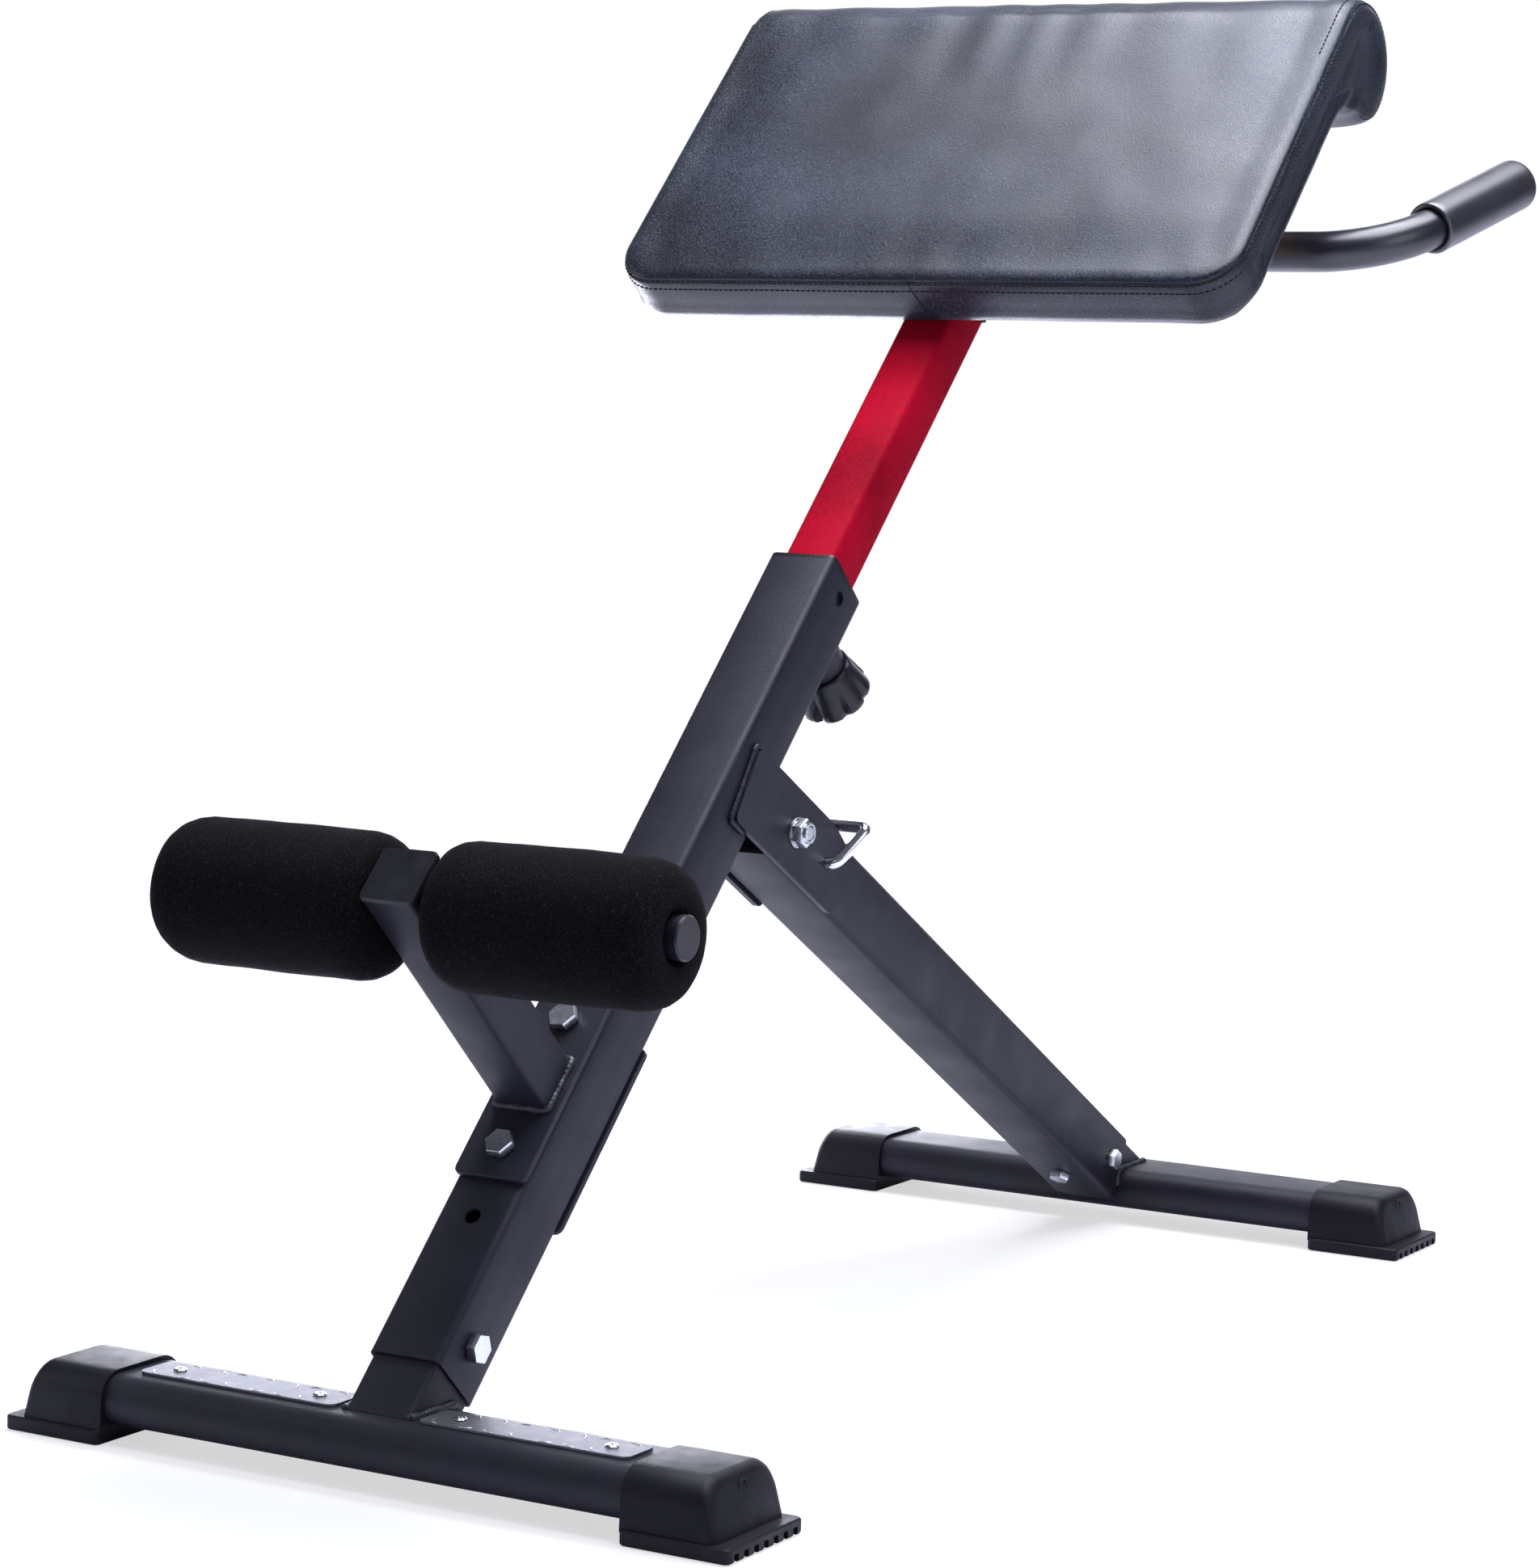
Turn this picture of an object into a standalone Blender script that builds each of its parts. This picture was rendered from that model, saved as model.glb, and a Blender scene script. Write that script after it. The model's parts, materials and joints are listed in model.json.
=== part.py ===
"""Roman chair (45 degree back trainer): an inclined post on two floor bars, a folding rear strut,
a telescopic pad post with a rolled-top hip pad and side handles, and a foam ankle roller.
Metres. +Z up, +Y from the ankle rollers to the rear bar, X to the side, origin under the middle.
"""
import math

import bmesh
import bpy
from mathutils import Matrix, Vector

for old in list(bpy.data.objects):
    bpy.data.objects.remove(old, do_unlink=True)

# ---- driving dimensions -------------------------------------------------------------------
GAP = 0.0003                      # between parts that touch
Y_MID = 0.51735                   # half of the overall length
HALF_SPAN = 0.256                 # half width over the feet

SOLE = (0.0718, 0.082, 0.009)     # foot sole: across, along, high
CAP_IN, CAP_OUT, CAP_WALL, CAP_LEAN = 0.184, 0.248, 0.0027, 0.010
BAR_Z0, BAR_R, BAR_WALL, BAR_END = 0.0095, 0.0145, 0.002, 0.2310
FRONT_BAR = dict(y=0.0410, depth=0.070, high=0.031)
REAR_BAR = dict(y=0.9937, depth=0.070, high=0.031)
GROOVES, GROOVE_W, GROOVE_H = 7, 0.0048, 0.0050

TILT = math.radians(44.35)        # post from the vertical
POST_FOOT = (0.0540, 0.0704)      # y, z of its lower front corner
POST_W, POST_R, POST_WALL, POST_L = 0.050, 0.0045, 0.002, 0.6342
STUB_W, STUB_WALL = 0.0454, 0.0025
HOLES_UP = (0.0995, 0.1475, 0.1955, 0.2435)   # roller bracket positions on the post
POST_BOLT_UP, SLEEVE_HOLE_UP, PIN_UP = 0.026, 0.620, 0.600

RED_W, RED_R, RED_WALL = 0.038, 0.0045, 0.002
RED_LOW, RED_TOP = 0.380, 1.060
RED_PITCH = 0.030

ARM_W, ARM_UP, ARM_OUT = 0.038, 0.1955, 0.2020
PLATE = dict(low=0.1255, top=0.2650, half=0.026, thick=0.004)
AXLE_OUT, AXLE_R, AXLE_END = 0.172, 0.0125, 0.1770
AXLE_CAP_R = 0.0134
FOAM_R, FOAM_IN, FOAM_OUT = 0.0440, 0.0215, 0.1765

PIVOT = (0.4470, 0.3460)          # y, z
STRUT_DIP = math.radians(30.6)    # below the horizontal, going back
STRUT_LOW, STRUT_TOP = -0.596, 0.018
LOCK_BACK, LOCK_R = 0.048, 0.004

PAD_HALF, PAD_LOW, PAD_FRONT, PAD_BACK = 0.2435, 0.860, -0.037, 0.0057
ROLL_UP, ROLL_DEEP, ROLL_A, ROLL_B = 1.127, 0.010, 0.045, 0.047
BOARD = dict(half=0.200, low=0.885, top=1.080, thick=0.012)

BAR2_R, BAR2_UP, BAR2_DEEP, BAR2_HALF = 0.014, 0.9868, 0.0583, 0.236
BEND_R, BEND, RISE = 0.067, math.radians(76.3), math.radians(20.0)
GRIP_R, GRIP_L = 0.0183, 0.108

# ---- frames -------------------------------------------------------------------------------
# post frame: x across, y depth behind the front face, z up along the post
POST = Matrix.Translation((0, POST_FOOT[0] - Y_MID, POST_FOOT[1])) @ Matrix.Rotation(-TILT, 4, "X")
# strut frame: origin on the hinge, z towards its upper end, y out of its upper face
STRUT = Matrix.Translation((0, PIVOT[0] - Y_MID, PIVOT[1])) @ Matrix.Rotation(
    math.pi / 2 - STRUT_DIP, 4, "X")
WORLD = Matrix.Translation((0, -Y_MID, 0))
TO_X = Matrix.Rotation(math.pi / 2, 4, "Y")       # local z turned to +x
TO_BACK = Matrix.Rotation(-math.pi / 2, 4, "X")   # local z turned to +y (depth)
TO_FRONT = Matrix.Rotation(math.pi / 2, 4, "X")   # local z turned to -y
HALF_TURN = Matrix.Rotation(math.pi, 4, "X")
SIDEWAYS = Matrix(((0, 0, 1, 0), (1, 0, 0, 0), (0, 1, 0, 0), (0, 0, 0, 1)))  # local x, y, z to y, z, x


def at(x=0.0, y=0.0, z=0.0):
    return Matrix.Translation((x, y, z))


# ---- materials ----------------------------------------------------------------------------
def material(name, rgb, metallic=0.0, rough=0.5):
    mat = bpy.data.materials.new(name)
    mat.use_nodes = True
    bsdf = mat.node_tree.nodes["Principled BSDF"]
    bsdf.inputs["Base Color"].default_value = (*rgb, 1)
    bsdf.inputs["Metallic"].default_value = metallic
    bsdf.inputs["Roughness"].default_value = rough
    mat.diffuse_color = (*rgb, 1)
    return mat


BLACK_COAT = material("powder_coat_black", (0.016, 0.017, 0.020), 0.0, 0.55)
RED_COAT = material("powder_coat_red", (0.42, 0.008, 0.022), 0.0, 0.42)
PLASTIC = material("plastic_black", (0.012, 0.012, 0.014), 0.0, 0.38)
RUBBER = material("foot_pvc", (0.011, 0.011, 0.013), 0.0, 0.42)
FOAM = material("foam_black", (0.004, 0.004, 0.005), 0.0, 0.95)
LEATHER = material("synthetic_leather", (0.020, 0.020, 0.024), 0.0, 0.42)
PLYWOOD = material("plywood", (0.42, 0.27, 0.14), 0.0, 0.7)
ZINC = material("zinc_plated_steel", (0.62, 0.64, 0.66), 1.0, 0.28)
CHROME = material("chrome", (0.80, 0.80, 0.82), 1.0, 0.08)
STEP = material("step_plate_steel", (0.55, 0.56, 0.60), 1.0, 0.35)
GRIP = material("grip_pvc", (0.016, 0.016, 0.018), 0.0, 0.45)

# ---- building blocks ----------------------------------------------------------------------
def collection(name):
    made = bpy.data.collections.new(name)
    bpy.context.scene.collection.children.link(made)
    return made


chair, cutters = collection("roman_chair"), collection("cutters")
cutters.hide_render = True


def finish(name, bm, mat, frame, smooth=0.6):
    """One object from a bmesh whose points are in the frame; without a material it is a cutter."""
    mesh = bpy.data.meshes.new(name)
    bm.to_mesh(mesh)
    bm.free()
    obj = bpy.data.objects.new(name, mesh)
    obj.matrix_world = frame
    if mat is None:
        obj.hide_render = True
        obj.display_type = "WIRE"
        cutters.objects.link(obj)
    else:
        mesh.materials.append(mat)
        chair.objects.link(obj)
        mesh.shade_smooth()
        mesh.set_sharp_from_angle(angle=smooth)
    return obj


def block(w, d, r, z0, z1, edge=0.0, steps=3):
    """A cube with its four upright edges rounded, and its top and bottom rims chamfered by edge."""
    bm = bmesh.new()
    bmesh.ops.create_cube(bm, size=1, matrix=at(z=(z0 + z1) / 2) @ Matrix.Diagonal((w, d, z1 - z0, 1)))
    upright = [e for e in bm.edges if abs(e.verts[0].co.z - e.verts[1].co.z) > 1e-6]
    bmesh.ops.bevel(bm, geom=upright, offset=r, segments=steps, profile=0.5, affect="EDGES")
    if edge:
        rims = [e for e in bm.edges if abs(e.verts[0].co.z - e.verts[1].co.z) < 1e-6]
        bmesh.ops.bevel(bm, geom=rims, offset=edge, segments=1, profile=0.5, affect="EDGES")
    return bm


def square_tube(name, w, d, r, wall, z0, z1, frame, mat, steps=3):
    """The sides of a rounded block as an open shell, given its wall inwards."""
    bm = block(w, d, r, z0, z1, steps=steps)
    ends = [f for f in bm.faces if abs(f.normal.z) > 0.5]
    bmesh.ops.delete(bm, geom=ends, context="FACES")
    obj = finish(name, bm, mat, frame)
    shell = obj.modifiers.new("wall", "SOLIDIFY")
    shell.thickness, shell.offset, shell.use_even_offset = wall, -1, True
    return obj


def rod(r, z0, z1, n=18):
    bm = bmesh.new()
    bmesh.ops.create_cone(bm, cap_ends=True, segments=n, radius1=r, radius2=r, depth=z1 - z0,
                          matrix=at(z=(z0 + z1) / 2))
    return bm


def turned(name, profile, mat, frame, n=18, ring=False):
    """A turned shape from its (radius, height) profile, which climbs its outer side.
    A ring's profile closes on itself; any other is closed by the axis."""
    if not ring:
        profile = [(0, profile[0][1])] + profile + [(0, profile[-1][1])]
    bm = bmesh.new()
    points = [bm.verts.new((r, 0, z)) for r, z in reversed(profile)]
    for a, b in zip(points, points[1:] + points[:ring]):
        bm.edges.new((a, b))
    obj = finish(name, bm, mat, frame)
    screw = obj.modifiers.new("turn", "SCREW")
    screw.steps = screw.render_steps = n
    screw.use_merge_vertices, screw.merge_threshold = True, 0.00001
    screw.use_smooth_shade = True
    return obj


def curve_object(name, points, cyclic=False):
    curve = bpy.data.curves.new(name, "CURVE")
    spline = curve.splines.new("POLY")
    spline.points.add(len(points) - 1)
    for point, place in zip(spline.points, points):
        point.co = (*place, 1)
    spline.use_cyclic_u = cyclic
    obj = bpy.data.objects.new(name, curve)
    chair.objects.link(obj)
    return obj


def bent(name, points, r, mat, frame, resolution, wall=0.0):
    """A round wire along points, or a tube if it has a wall."""
    obj = curve_object(name, points)
    curve = obj.data
    curve.dimensions = "3D"
    curve.bevel_depth, curve.bevel_resolution = r, resolution
    curve.use_fill_caps = not wall
    curve.materials.append(mat)
    obj.matrix_world = frame
    if wall:
        shell = obj.modifiers.new("wall", "SOLIDIFY")
        shell.thickness, shell.offset = wall, -1
    return obj


def slab(outline, z0, z1):
    """A flat outline of (x, y), extruded between two heights, as a mesh that can be cut."""
    obj = curve_object("outline", [(x, y, 0) for x, y in outline], cyclic=True)
    curve = obj.data
    curve.dimensions, curve.fill_mode, curve.extrude = "2D", "BOTH", (z1 - z0) / 2
    mesh = bpy.data.meshes.new_from_object(obj.evaluated_get(bpy.context.evaluated_depsgraph_get()))
    bm = bmesh.new()
    bm.from_mesh(mesh)
    bmesh.ops.remove_doubles(bm, verts=bm.verts, dist=0.000001)
    bmesh.ops.translate(bm, verts=bm.verts, vec=(0, 0, (z0 + z1) / 2))
    bpy.data.objects.remove(obj)
    bpy.data.curves.remove(curve)
    bpy.data.meshes.remove(mesh)
    return bm


def loft(rings, ring_closed=False):
    """A body through unlike sections of equal length, with end caps unless they close on themselves."""
    bm = bmesh.new()
    rows = [[bm.verts.new(p) for p in ring] for ring in rings]
    pairs = list(zip(rows, rows[1:]))
    if ring_closed:
        pairs.append((rows[-1], rows[0]))
    for a, b in pairs:
        for i in range(len(a)):
            j = (i + 1) % len(a)
            bm.faces.new((a[i], a[j], b[j], b[i]))
    if not ring_closed:
        bm.faces.new(rows[0][::-1])
        bm.faces.new(rows[-1])
    bmesh.ops.recalc_face_normals(bm, faces=bm.faces)
    return bm


def circle(r, z, n=18):
    return [(r * math.cos(2 * math.pi * i / n), r * math.sin(2 * math.pi * i / n), z)
            for i in range(n)]


def hexagon(flats, z, n=18):
    """A hexagon across the flats, sampled at n points so that it lofts to a circle."""
    ring = []
    for i in range(n):
        a = 2 * math.pi * i / n
        off = (a + math.pi / 6) % (math.pi / 3) - math.pi / 6
        r = flats / 2 / math.cos(math.pi / 6 - abs(off))
        ring.append((r * math.cos(a), r * math.sin(a), z))
    return ring


def rounded(w, d, r, steps=3, cx=0.0, cy=0.0):
    """A rectangle w by d with round corners, counter-clockwise."""
    ring = []
    for k, (sx, sy) in enumerate(((1, 1), (-1, 1), (-1, -1), (1, -1))):
        for i in range(steps + 1):
            a = (k + i / steps) * math.pi / 2
            ring.append((cx + sx * (w / 2 - r) + r * math.cos(a),
                         cy + sy * (d / 2 - r) + r * math.sin(a)))
    return ring


def stepped(sections):
    """A body of square sections, each (width, corner radius, height)."""
    return [[(x, y, z) for x, y in rounded(w, w, r)] for w, r, z in sections]


def round_outline(points, r, steps=3):
    """A polygon with each corner replaced by a short curve."""
    out = []
    for i, p in enumerate(points):
        p, a, b = Vector(p), Vector(points[i - 1]), Vector(points[(i + 1) % len(points)])
        a, b = p + (a - p).normalized() * r, p + (b - p).normalized() * r
        for k in range(steps + 1):
            t = k / steps
            out.append(tuple((1 - t) ** 2 * a + 2 * t * (1 - t) * p + t * t * b))
    return out


def boolean(obj, other, operation="DIFFERENCE"):
    """The other object cuts or joins this one, and rides on the first piece that it works on."""
    mod = obj.modifiers.new(operation.lower(), "BOOLEAN")
    mod.operation, mod.solver, mod.object = operation, "EXACT", other
    if other.parent is None:
        hang(other, obj)


def hang(obj, parent):
    place = obj.matrix_world.copy()
    obj.parent = parent
    obj.matrix_world = place


def drill(objs, frame, r, z0, z1, name="drill", n=12):
    cutter = finish(name, rod(r, z0, z1, n), None, frame)
    for obj in objs:
        boolean(obj, cutter)


# ---- fasteners: local z runs from the head towards the nut ----------------------------------
def bolt(name, frame, length, flats=0.017, head=0.0064, shank=0.0049):
    """Underside of the head at local z = 0."""
    rings = [circle(flats * 0.42, -head), hexagon(flats * 0.93, -head), hexagon(flats, -head + 0.001),
             hexagon(flats, -0.0008), circle(flats * 0.47, -0.0008), circle(flats * 0.47, 0),
             circle(shank, 0), circle(shank, length - 0.001), circle(shank * 0.8, length)]
    return finish(name, loft(rings), ZINC, frame, 0.5)


def nut(name, frame, flats=0.017, high=0.0105, bore=0.0053, washer=0.0):
    """Seat at local z = 0; a lock nut with its nylon collar, on a washer if one is given."""
    rings = [circle(bore, washer)]
    if washer:
        rings = [circle(bore, 0), circle(flats * 0.6, 0), circle(flats * 0.6, washer)]
    rings += [circle(flats * 0.47, washer), hexagon(flats, washer + 0.0008),
              hexagon(flats, washer + high * 0.66), hexagon(flats * 0.95, washer + high * 0.74),
              circle(flats * 0.42, washer + high * 0.76), circle(flats * 0.40, washer + high),
              circle(bore, washer + high)]
    return finish(name, loft(rings, True), ZINC, frame, 0.5)


# ---- floor bars and feet --------------------------------------------------------------------
def bar_outline(bar, grow=0.0):
    d, h = bar["depth"] + 2 * grow, bar["high"] + 2 * grow
    return rounded(d, h, BAR_R + grow, 5, bar["y"], BAR_Z0 + bar["high"] / 2)


def bar_frame(bar):
    """The bar's middle line, local z along it."""
    return WORLD @ at(0, bar["y"], BAR_Z0 + bar["high"] / 2) @ TO_X


def floor_bar(name, bar):
    return square_tube(name, bar["high"], bar["depth"], BAR_R, BAR_WALL, -BAR_END, BAR_END,
                       bar_frame(bar), BLACK_COAT, 5)


def foot(name, bar, side):
    """A push-on end cap standing on a wider ribbed sole."""
    y, top = bar["y"], BAR_Z0 + bar["high"] + CAP_WALL
    half = bar["depth"] / 2 + CAP_WALL

    def section(shrink):
        low, w = SOLE[2] - 0.002, half - shrink
        r = BAR_R + CAP_WALL
        ring = [(y - w - 0.001, low), (y + w + 0.001, low)]
        for k in range(7):
            a = k / 6 * math.pi / 2
            ring.append((y + w - r + r * math.cos(a), top - shrink - r + r * math.sin(a)))
        for k in range(7):
            a = (1 + k / 6) * math.pi / 2
            ring.append((y - w + r + r * math.cos(a), top - shrink - r + r * math.sin(a)))
        return ring

    # the end face leans inwards towards the top
    steps = ((CAP_IN, 0, 0), (CAP_OUT - 0.006, 0, 1), (CAP_OUT - 0.0028, 0.0010, 1),
             (CAP_OUT - 0.0008, 0.0030, 1), (CAP_OUT, 0.0058, 1))
    body = finish(name, loft([[(side * (x - lean * CAP_LEAN * b / top), a, b) for a, b in section(s)]
                              for x, s, lean in steps]), RUBBER, WORLD, 0.7)
    x_mid = side * (HALF_SPAN - SOLE[0] / 2)
    sole = finish(name + "_sole", block(SOLE[0], SOLE[1], 0.004, 0, SOLE[2], 0.001), None,
                  WORLD @ at(x_mid, y))
    boolean(body, sole, "UNION")
    bore = block(bar["high"] + 2 * GAP, bar["depth"] + 2 * GAP, BAR_R + GAP,
                 *sorted((side * (CAP_IN - 0.01), side * (BAR_END + GAP))), steps=5)
    boolean(body, finish(name + "_bore", bore, None, bar_frame(bar)))
    x0, x1 = HALF_SPAN - SOLE[0] + 0.008, HALF_SPAN + 0.01
    bm = bmesh.new()
    for k in range(GROOVES):
        yc = y + (k - (GROOVES - 1) / 2) * 0.0106
        bmesh.ops.create_cube(bm, size=1, matrix=at(side * (x0 + x1) / 2, yc, GROOVE_H / 2 - 0.001)
                              @ Matrix.Diagonal((x1 - x0, GROOVE_W, GROOVE_H + 0.002, 1)))
    boolean(body, finish(name + "_grooves", bm, None, WORLD))


front_bar = floor_bar("front_bar", FRONT_BAR)
rear_bar = floor_bar("rear_bar", REAR_BAR)
for label, bar in (("front", FRONT_BAR), ("rear", REAR_BAR)):
    for tag, side in (("left", -1), ("right", 1)):
        foot(f"foot_{label}_{tag}", bar, side)

BAR_TOP = BAR_Z0 + FRONT_BAR["high"]
for tag, side in (("left", -1), ("right", 1)):
    finish(f"step_plate_{tag}", block(0.144, 0.030, 0.005, 0, 0.0015), STEP,
           WORLD @ at(side * 0.102, FRONT_BAR["y"], BAR_TOP + GAP))
    for k, x in enumerate((0.050, 0.154), 1):
        head = [(0.0042, 0), (0.0042, 0.0004), (0.0032, 0.0012), (0.0018, 0.0013), (0.0014, 0.0006)]
        turned(f"step_screw_{tag}_{k}", head, ZINC,
               WORLD @ at(side * x, FRONT_BAR["y"], BAR_TOP + 0.0015 + 2 * GAP), 12)

# ---- post, its stub in the front bar, sleeve and fasteners ----------------------------------
MID = POST_W / 2
CORE = POST @ at(0, MID)          # the post's middle line
main_post = square_tube("main_post", POST_W, POST_W, POST_R, POST_WALL, 0, POST_L, CORE, BLACK_COAT)
front_stub = square_tube("front_stub", STUB_W, STUB_W, 0.003, STUB_WALL, -0.050, 0.060, CORE, BLACK_COAT)


def top_and_side(bar, back):
    """Outline of all that lies under a bar's top and inside its nearer round side."""
    arc = [p for p in bar_outline(bar, GAP) if p[1] >= BAR_Z0 + bar["high"] / 2 - 1e-6]
    arc.sort(key=lambda p: p[0])
    far, deep = (0.3, -0.2)
    if back:
        arc = [p for p in arc if p[0] > bar["y"]]
        return [(bar["y"] - far, deep), (arc[-1][0], deep)] + arc[::-1] + [
            (bar["y"] - far, arc[0][1])]
    arc = [p for p in arc if p[0] < bar["y"]]
    return [(arc[0][0], deep), (bar["y"] + far, deep), (bar["y"] + far, arc[-1][1])] + arc[::-1]


boolean(front_stub, finish("front_saddle", slab(top_and_side(FRONT_BAR, True), -0.05, 0.05),
                           None, WORLD @ SIDEWAYS))

across = [main_post, front_stub]
drill(across, CORE @ at(z=POST_BOLT_UP) @ TO_X, 0.0053, -0.04, 0.04, "post_bolt_drill")
bolt("post_bolt", CORE @ at(POST_W / 2 + GAP, 0, POST_BOLT_UP) @ TO_X @ HALF_TURN, 0.064)
nut("post_nut", CORE @ at(-POST_W / 2 - GAP, 0, POST_BOLT_UP) @ TO_X @ HALF_TURN)
for up in HOLES_UP:
    drill([main_post], POST @ at(0, MID, up) @ TO_BACK, 0.0054, -0.04, 0.04, "bracket_drill")
drill([main_post], POST @ at(0, MID, SLEEVE_HOLE_UP) @ TO_X, 0.0053, 0, 0.04, "sleeve_drill")
drill([main_post], POST @ at(0, MID, PIN_UP) @ TO_BACK, 0.0056, 0, 0.04, "pin_drill")

sleeve = stepped(((0.0386, 0.0046, 0.611), (STUB_W, 0.003, 0.611), (STUB_W, 0.003, POST_L + GAP),
                  (POST_W, POST_R, POST_L + GAP), (POST_W, POST_R, POST_L + 0.0028),
                  (0.0386, 0.0046, POST_L + 0.0028)))
finish("post_sleeve", loft(sleeve, True), PLASTIC, CORE)

# ---- ankle roller bracket -------------------------------------------------------------------
plate_mid, plate_long = (PLATE["low"] + PLATE["top"]) / 2, PLATE["top"] - PLATE["low"]
holes = (HOLES_UP[1], HOLES_UP[3])
bracket = finish("roller_bracket", block(2 * PLATE["half"], plate_long, 0.005, GAP, GAP + 0.004,
                 edge=0.0007), BLACK_COAT, POST @ at(0, 0, plate_mid) @ TO_FRONT)
backing = finish("backing_plate", block(2 * PLATE["half"], plate_long, 0.005, GAP, GAP + 0.0035,
                 edge=0.0006), BLACK_COAT, POST @ at(0, POST_W, plate_mid) @ TO_BACK)
for k, up in enumerate(holes, 1):
    drill([bracket, backing], POST @ at(0, MID, up) @ TO_BACK, 0.0054, -0.05, 0.05, "plate_drill")
    bolt(f"bracket_bolt_{k}", POST @ at(0, -0.004 - 2 * GAP, up) @ TO_BACK, 0.0685)
    nut(f"bracket_nut_{k}", POST @ at(0, POST_W + 0.0035 + 2 * GAP, up) @ TO_BACK)

arm_start = 0.004 + 2 * GAP
OUTWARD = POST @ at(0, 0, ARM_UP) @ TO_FRONT
arm = square_tube("roller_arm", ARM_W, ARM_W, 0.004, 0.002, arm_start, ARM_OUT, OUTWARD, BLACK_COAT)
plug = stepped(((0.0334, 0.002, ARM_OUT - 0.012), (0.0334, 0.002, ARM_OUT + GAP),
                (0.0392, 0.004, ARM_OUT + GAP), (0.0392, 0.004, ARM_OUT + 0.0028),
                (0.0376, 0.0035, ARM_OUT + 0.0040)))
finish("arm_end_cap", loft(plug), PLASTIC, OUTWARD)

AXLE = POST @ at(0, -AXLE_OUT, ARM_UP) @ TO_X
drill([arm], AXLE, AXLE_R + 0.0005, -0.04, 0.04, "axle_drill", 24)
turned("roller_axle", [(AXLE_R, -AXLE_END), (AXLE_R, AXLE_END), (AXLE_R - 0.002, AXLE_END),
       (AXLE_R - 0.002, -AXLE_END)], ZINC, AXLE, ring=True)
for tag, side in (("left", -1), ("right", 1)):
    turn = AXLE if side > 0 else AXLE @ HALF_TURN
    r, a, b, bore = FOAM_R, FOAM_IN, FOAM_OUT, AXLE_R + 0.0004
    profile = [(bore, a), (r - 0.016, a), (r - 0.005, a + 0.004), (r, a + 0.016), (r, b - 0.022),
               (r - 0.0025, b - 0.012), (r - 0.008, b - 0.0045), (r - 0.018, b - 0.0005),
               (bore, b - 0.0005)]
    turned(f"foam_roller_{tag}", profile, FOAM, turn, 24, ring=True)
    r = AXLE_R - 0.002 - GAP
    profile = [(r, AXLE_END - 0.012), (r, AXLE_END + GAP), (AXLE_CAP_R, AXLE_END + GAP),
               (AXLE_CAP_R, AXLE_END + 0.0038), (AXLE_CAP_R - 0.0010, AXLE_END + 0.0050)]
    turned(f"axle_cap_{tag}", profile, PLASTIC, turn, 20)

# ---- fold hinge: side plates, strut, bolt, lock pin -------------------------------------------
outline = round_outline([(0.027, 0.070), (0.027, -0.045), (0.019, -0.077), (-0.0265, -0.073),
                         (-0.0265, 0.0735)], 0.006)
plates = [finish(f"pivot_plate_{tag}", slab(outline, *sorted((side * (POST_W / 2 + GAP), side * 0.0293))),
                 BLACK_COAT, STRUT @ SIDEWAYS) for tag, side in (("left", -1), ("right", 1))]
strut = square_tube("rear_strut", POST_W, POST_W, POST_R, POST_WALL, STRUT_LOW, STRUT_TOP, STRUT,
                    BLACK_COAT)
drill(plates + [strut], STRUT @ TO_X, 0.0054, -0.04, 0.04, "pivot_drill")
drill(plates, STRUT @ at(0, 0, -LOCK_BACK) @ TO_X, LOCK_R + 0.0004, -0.04, 0.04, "lock_drill")
# the lock pin's seat opens to the upper face, so that the strut swings off the pin
slot = block(0.017, 0.0355, 0.004, -0.04, 0.04)
boolean(strut, finish("lock_slot", slot, None, STRUT @ at(0, 0.0132, -LOCK_BACK + 0.0035)
                      @ TO_X))
bolt("pivot_bolt", STRUT @ at(-0.0293 - GAP) @ TO_X, 0.0700)
nut("pivot_nut", STRUT @ at(0.0293 + GAP) @ TO_X, high=0.0095, washer=0.0015)

# a bent wire: through both plates, out to a loop, and back over the strut's upper face
lean = math.radians(50)
leg = Vector((0, math.cos(lean), math.sin(lean))) * 0.031
side_x = Vector((1, 0, 0))
corners = [(side_x * 0.0365, 0.006), (side_x * 0.0500 + leg, 0.007)]
end = leg - side_x * 0.0215
path = [side_x * -0.0375, side_x * -0.0355]
for k, (p, r) in enumerate(corners):
    before = path[-1] if k == 0 else corners[k - 1][0]
    after = end if k == len(corners) - 1 else corners[k + 1][0]
    a, b = p + (before - p).normalized() * r, p + (after - p).normalized() * r
    for i in range(5):
        t = i / 4
        path.append((1 - t) ** 2 * a + 2 * t * (1 - t) * p + t * t * b)
path += [end + side_x * 0.0015, end]
bent("lock_pin", path, LOCK_R, CHROME, Matrix.Translation(STRUT @ Vector((0, 0, -LOCK_BACK))), 4)

rear_stub = square_tube("rear_stub", STUB_W, STUB_W, 0.003, STUB_WALL, -0.680, -0.520, STRUT, BLACK_COAT)
boolean(rear_stub, finish("rear_saddle", slab(top_and_side(REAR_BAR, False), -0.05, 0.05),
                          None, WORLD @ SIDEWAYS))
for label, up, turn in (("under", STRUT_LOW + 0.045, TO_BACK),
                        ("side", STRUT_LOW + 0.018, TO_X @ HALF_TURN)):
    drill([strut, rear_stub], STRUT @ at(0, 0, up) @ turn, 0.0044, -0.04, 0.04, "strut_drill")
    seat = STRUT @ at(0, 0, up) @ turn @ at(0, 0, -POST_W / 2 - GAP)
    bolt(f"strut_bolt_{label}", seat, 0.061, 0.0135, 0.0055, 0.0040)
    seat = STRUT @ at(0, 0, up) @ turn @ at(0, 0, POST_W / 2 + GAP)
    nut(f"strut_nut_{label}", seat, 0.0135, 0.0085, 0.0043)

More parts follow.
